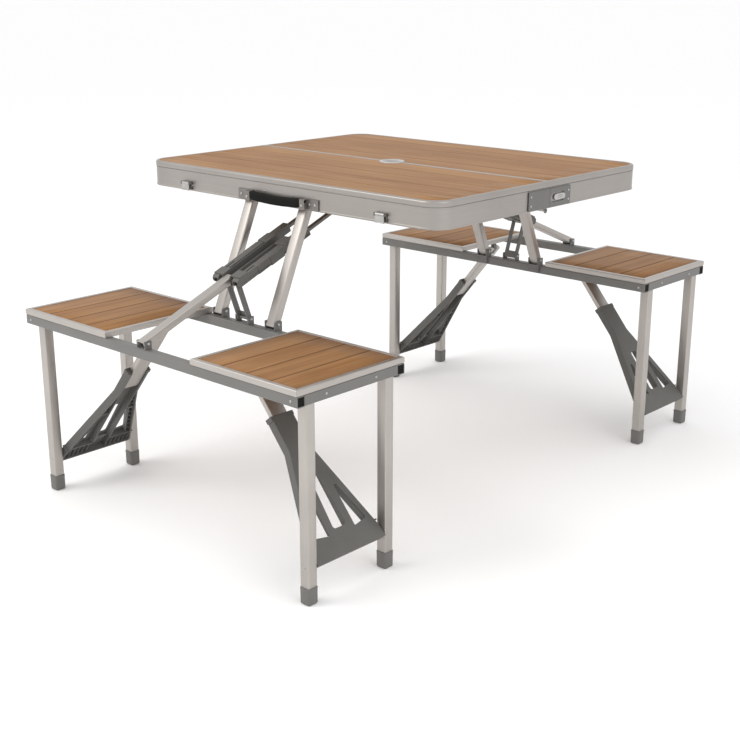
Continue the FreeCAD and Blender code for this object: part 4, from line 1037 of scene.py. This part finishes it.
leg_metal = satin_aluminium("satin aluminium, legs", (900, 900, 5))
cap_rubber = moulded_grey("grey rubber", (0.115, 0.111, 0.104), (0.165, 0.160, 0.150))
legs = [bar((LEG_X, y, CAP_HEIGHT - CAP_DEPTH + 0.5 * mm), (LEG_X, y, LEG_TOP),
            (1, 0, 0), LEG, LEG, LEG_ROUND, 2.4 * mm) for y in leg_places]
caps = [foot_cap(LEG_X, y) for y in leg_places]
leg_rivets = [rivet((LEG_X, y + out * LEG / 2, PIVOT_HEIGHT), (0, out, 0), 2.8 * mm,
                    1.2 * mm) for y, out in zip(leg_places, (-1, 1))]
make_copies(LEG_SETS, "_leg_tubes", "_legs", leg_metal, legs,
            ["_legs"], 40)
make_copies(LEG_SETS, "_foot_rubbers", "_legs", cap_rubber, caps,
            ["_foot_caps"], 40)
make_copies(LEG_SETS, "_leg_rivets", "_legs", zinc, leg_rivets)

# ---- leg braces
# A moulded plate between each pair of legs, smooth outside with three openings and
# stiffened inside by ribs, and a flat aluminium strut that straightens in its channel.
elbow = np.array(joints["front_right_brace_elbow"]["pos_m"])
lug = np.array(joints["front_right_strut_swing"]["pos_m"])
brace_axis = unit(lug - elbow)
brace_side = np.array([0.0, 1.0, 0.0])
brace_open = unit(np.cross(brace_axis, brace_side))
if brace_open[2] > 0:
    brace_open = -brace_open
BRACE_LENGTH = (elbow[2] - PIVOT_HEIGHT) / brace_axis[2]
brace_base = elbow - brace_axis * BRACE_LENGTH
BRACE_HALF = 89.4 * mm
BRACE_NECK = 26 * mm
RIB_TOP = 5 * mm
RIB_FLOOR = -7.2 * mm


def on_brace(along, across, rise):
    """A point on the brace: along it from its base pivot, across in y, and towards its
    open side."""
    return brace_base + brace_axis * along + brace_side * across + brace_open * rise


def rib(start, end, low=RIB_FLOOR, high=RIB_TOP, thick=2.0 * mm):
    """A rib between two (along, across) places, standing from low to high."""
    middle = (low + high) / 2
    first = on_brace(start[0], start[1], middle)
    last = on_brace(end[0], end[1], middle)
    across = unit(np.cross(unit(last - first), brace_open))
    return bar(first, last, across, thick, high - low, 0.4 * mm, 0.4 * mm, 2)


def brace_edge(along):
    """Half the brace's width at a place along it: straight from its foot to its neck."""
    share = np.clip((along - 8 * mm) / (197 * mm), 0, 1)
    return BRACE_HALF + (BRACE_NECK - BRACE_HALF) * share


ribs = []
CHANNEL_SIDE = 22.5 * mm
FRAME_RIB_IN = 14.5 * mm
for end in (-1, 1):
    for k in range(6):
        across = end * (26 + k * 11.5) * mm
        ribs.append(rib((-4.6 * mm, across), (26 * mm, across)))
    for k in range(8):
        along = (48 + k * 17) * mm
        outer = brace_edge(along) - 2.5 * mm
        inner = max(outer - 12 * mm, CHANNEL_SIDE)
        if outer - inner > 3 * mm:
            ribs.append(rib((along, end * inner), (along, end * outer), high=RIB_TOP - 1 * mm))
    low_end, high_end = [(along, end * (brace_edge(along) - FRAME_RIB_IN))
                         for along in (34 * mm, 146 * mm)]
    ribs.append(rib(low_end, high_end, high=RIB_TOP - 0.5 * mm))
strut_metal = {
    end: satin_aluminium("satin aluminium, %s struts" % tag, (900, 900, 5),
                         (0, math.atan2(end * brace_axis[0], brace_axis[2]), 0))
    for tag, end in ENDS[::-1]}
STRUT_WIDE = 38 * mm
STRUT_THICK = 12 * mm
STRUT_SLOT = 5.8 * mm
strut_top = lug - brace_axis * 14 * mm
struts = [bar(elbow - brace_axis * STRUT_SLOT, strut_top, brace_side, STRUT_WIDE, STRUT_THICK,
              2.6 * mm, 2.2 * mm)]
for across in (-1, 1):
    ear = (STRUT_WIDE / 4 + 2.8 * mm) * across
    struts.append(bar(strut_top - brace_axis * 2 * mm + brace_side * ear,
                      lug + brace_axis * STRUT_SLOT + brace_side * ear, brace_side,
                      STRUT_WIDE / 2 - STRUT_SLOT, STRUT_THICK - 0.1 * mm, 2.4 * mm, 2.2 * mm))
eased_copies(LEG_SETS, "_leg_brace", "_leg_brace", bracket_plastic,
             0.7 * mm, 3)
make_copies(LEG_SETS, "_brace_ribs", "_leg_brace", bracket_plastic, ribs)
for label, sign, shift in LEG_SETS:
    make_piece(label + "_flat_strut", label + "_brace_strut", strut_metal[sign],
               turned(struts, sign, shift), [label + "_brace_strut"], 40)

# ---- floor and light
# A plain pale floor under a white surround, a large soft light high on the left in front
# and a weaker one from the right.
CAMERA_PLACE = (1.8423, -2.0670, 1.0676)
CAMERA_TARGET = (0.1160, -0.1968, 0.2745)
CAMERA_LENS = 60.96


def placed(name, data):
    """Put an object in the scene."""
    thing = bpy.data.objects.new(name, data)
    bpy.context.scene.collection.objects.link(thing)
    return thing


def studio_floor():
    """A flat square of floor, wide enough to pass out of view."""
    reach = 60.0
    mesh = bpy.data.meshes.new("studio_floor")
    mesh.from_pydata([(-reach, -reach, 0), (reach, -reach, 0), (reach, reach, 0),
                      (-reach, reach, 0)], [], [(0, 1, 2, 3)])
    finish = Finish("pale floor", Roughness=0.9, Specular_IOR_Level=0.1)
    finish.wear("Base Color", (0.985, 0.985, 0.985, 1))
    mesh.materials.append(finish.material)
    floor = placed("studio_floor", mesh)


def look_at(thing, target):
    """Point a light or the camera from where it is towards a target."""
    direction = np.asarray(target, float) - np.asarray(thing.location, float)
    thing.rotation_mode = "QUATERNION"
    thing.rotation_quaternion = Vector(direction).to_track_quat("-Z", "Y")


def soft_light(name, place, size, power, colour):
    """A rectangular lamp of a width and height, turned towards the table."""
    lamp = bpy.data.lights.new(name, "AREA")
    lamp.shape = "RECTANGLE"
    lamp.size = size[0]
    lamp.size_y = size[1]
    lamp.energy = power
    lamp.color = colour
    thing = placed(name, lamp)
    thing.location = place
    look_at(thing, (0, 0, 0.4))


studio_floor()
soft_light("key light", (-1.6, -3.2, 3.2), (2.6, 2.0), 70, (1.0, 0.99, 0.975))
soft_light("fill light", (3.4, -0.6, 2.4), (2.4, 2.0), 25, (0.985, 0.99, 1.0))
surround = bpy.data.worlds.new("white surround")
bpy.context.scene.world = surround
surround.use_nodes = True
sky = surround.node_tree.nodes["Background"]
sky.inputs["Color"].default_value = (1, 1, 1, 1)
sky.inputs["Strength"].default_value = 1.0
bpy.context.scene.view_settings.view_transform = "Standard"

lens = bpy.data.cameras.new("camera")
lens.lens = CAMERA_LENS
lens.sensor_width = 36.0
camera = placed("camera", lens)
camera.location = CAMERA_PLACE
look_at(camera, CAMERA_TARGET)
bpy.context.scene.camera = camera
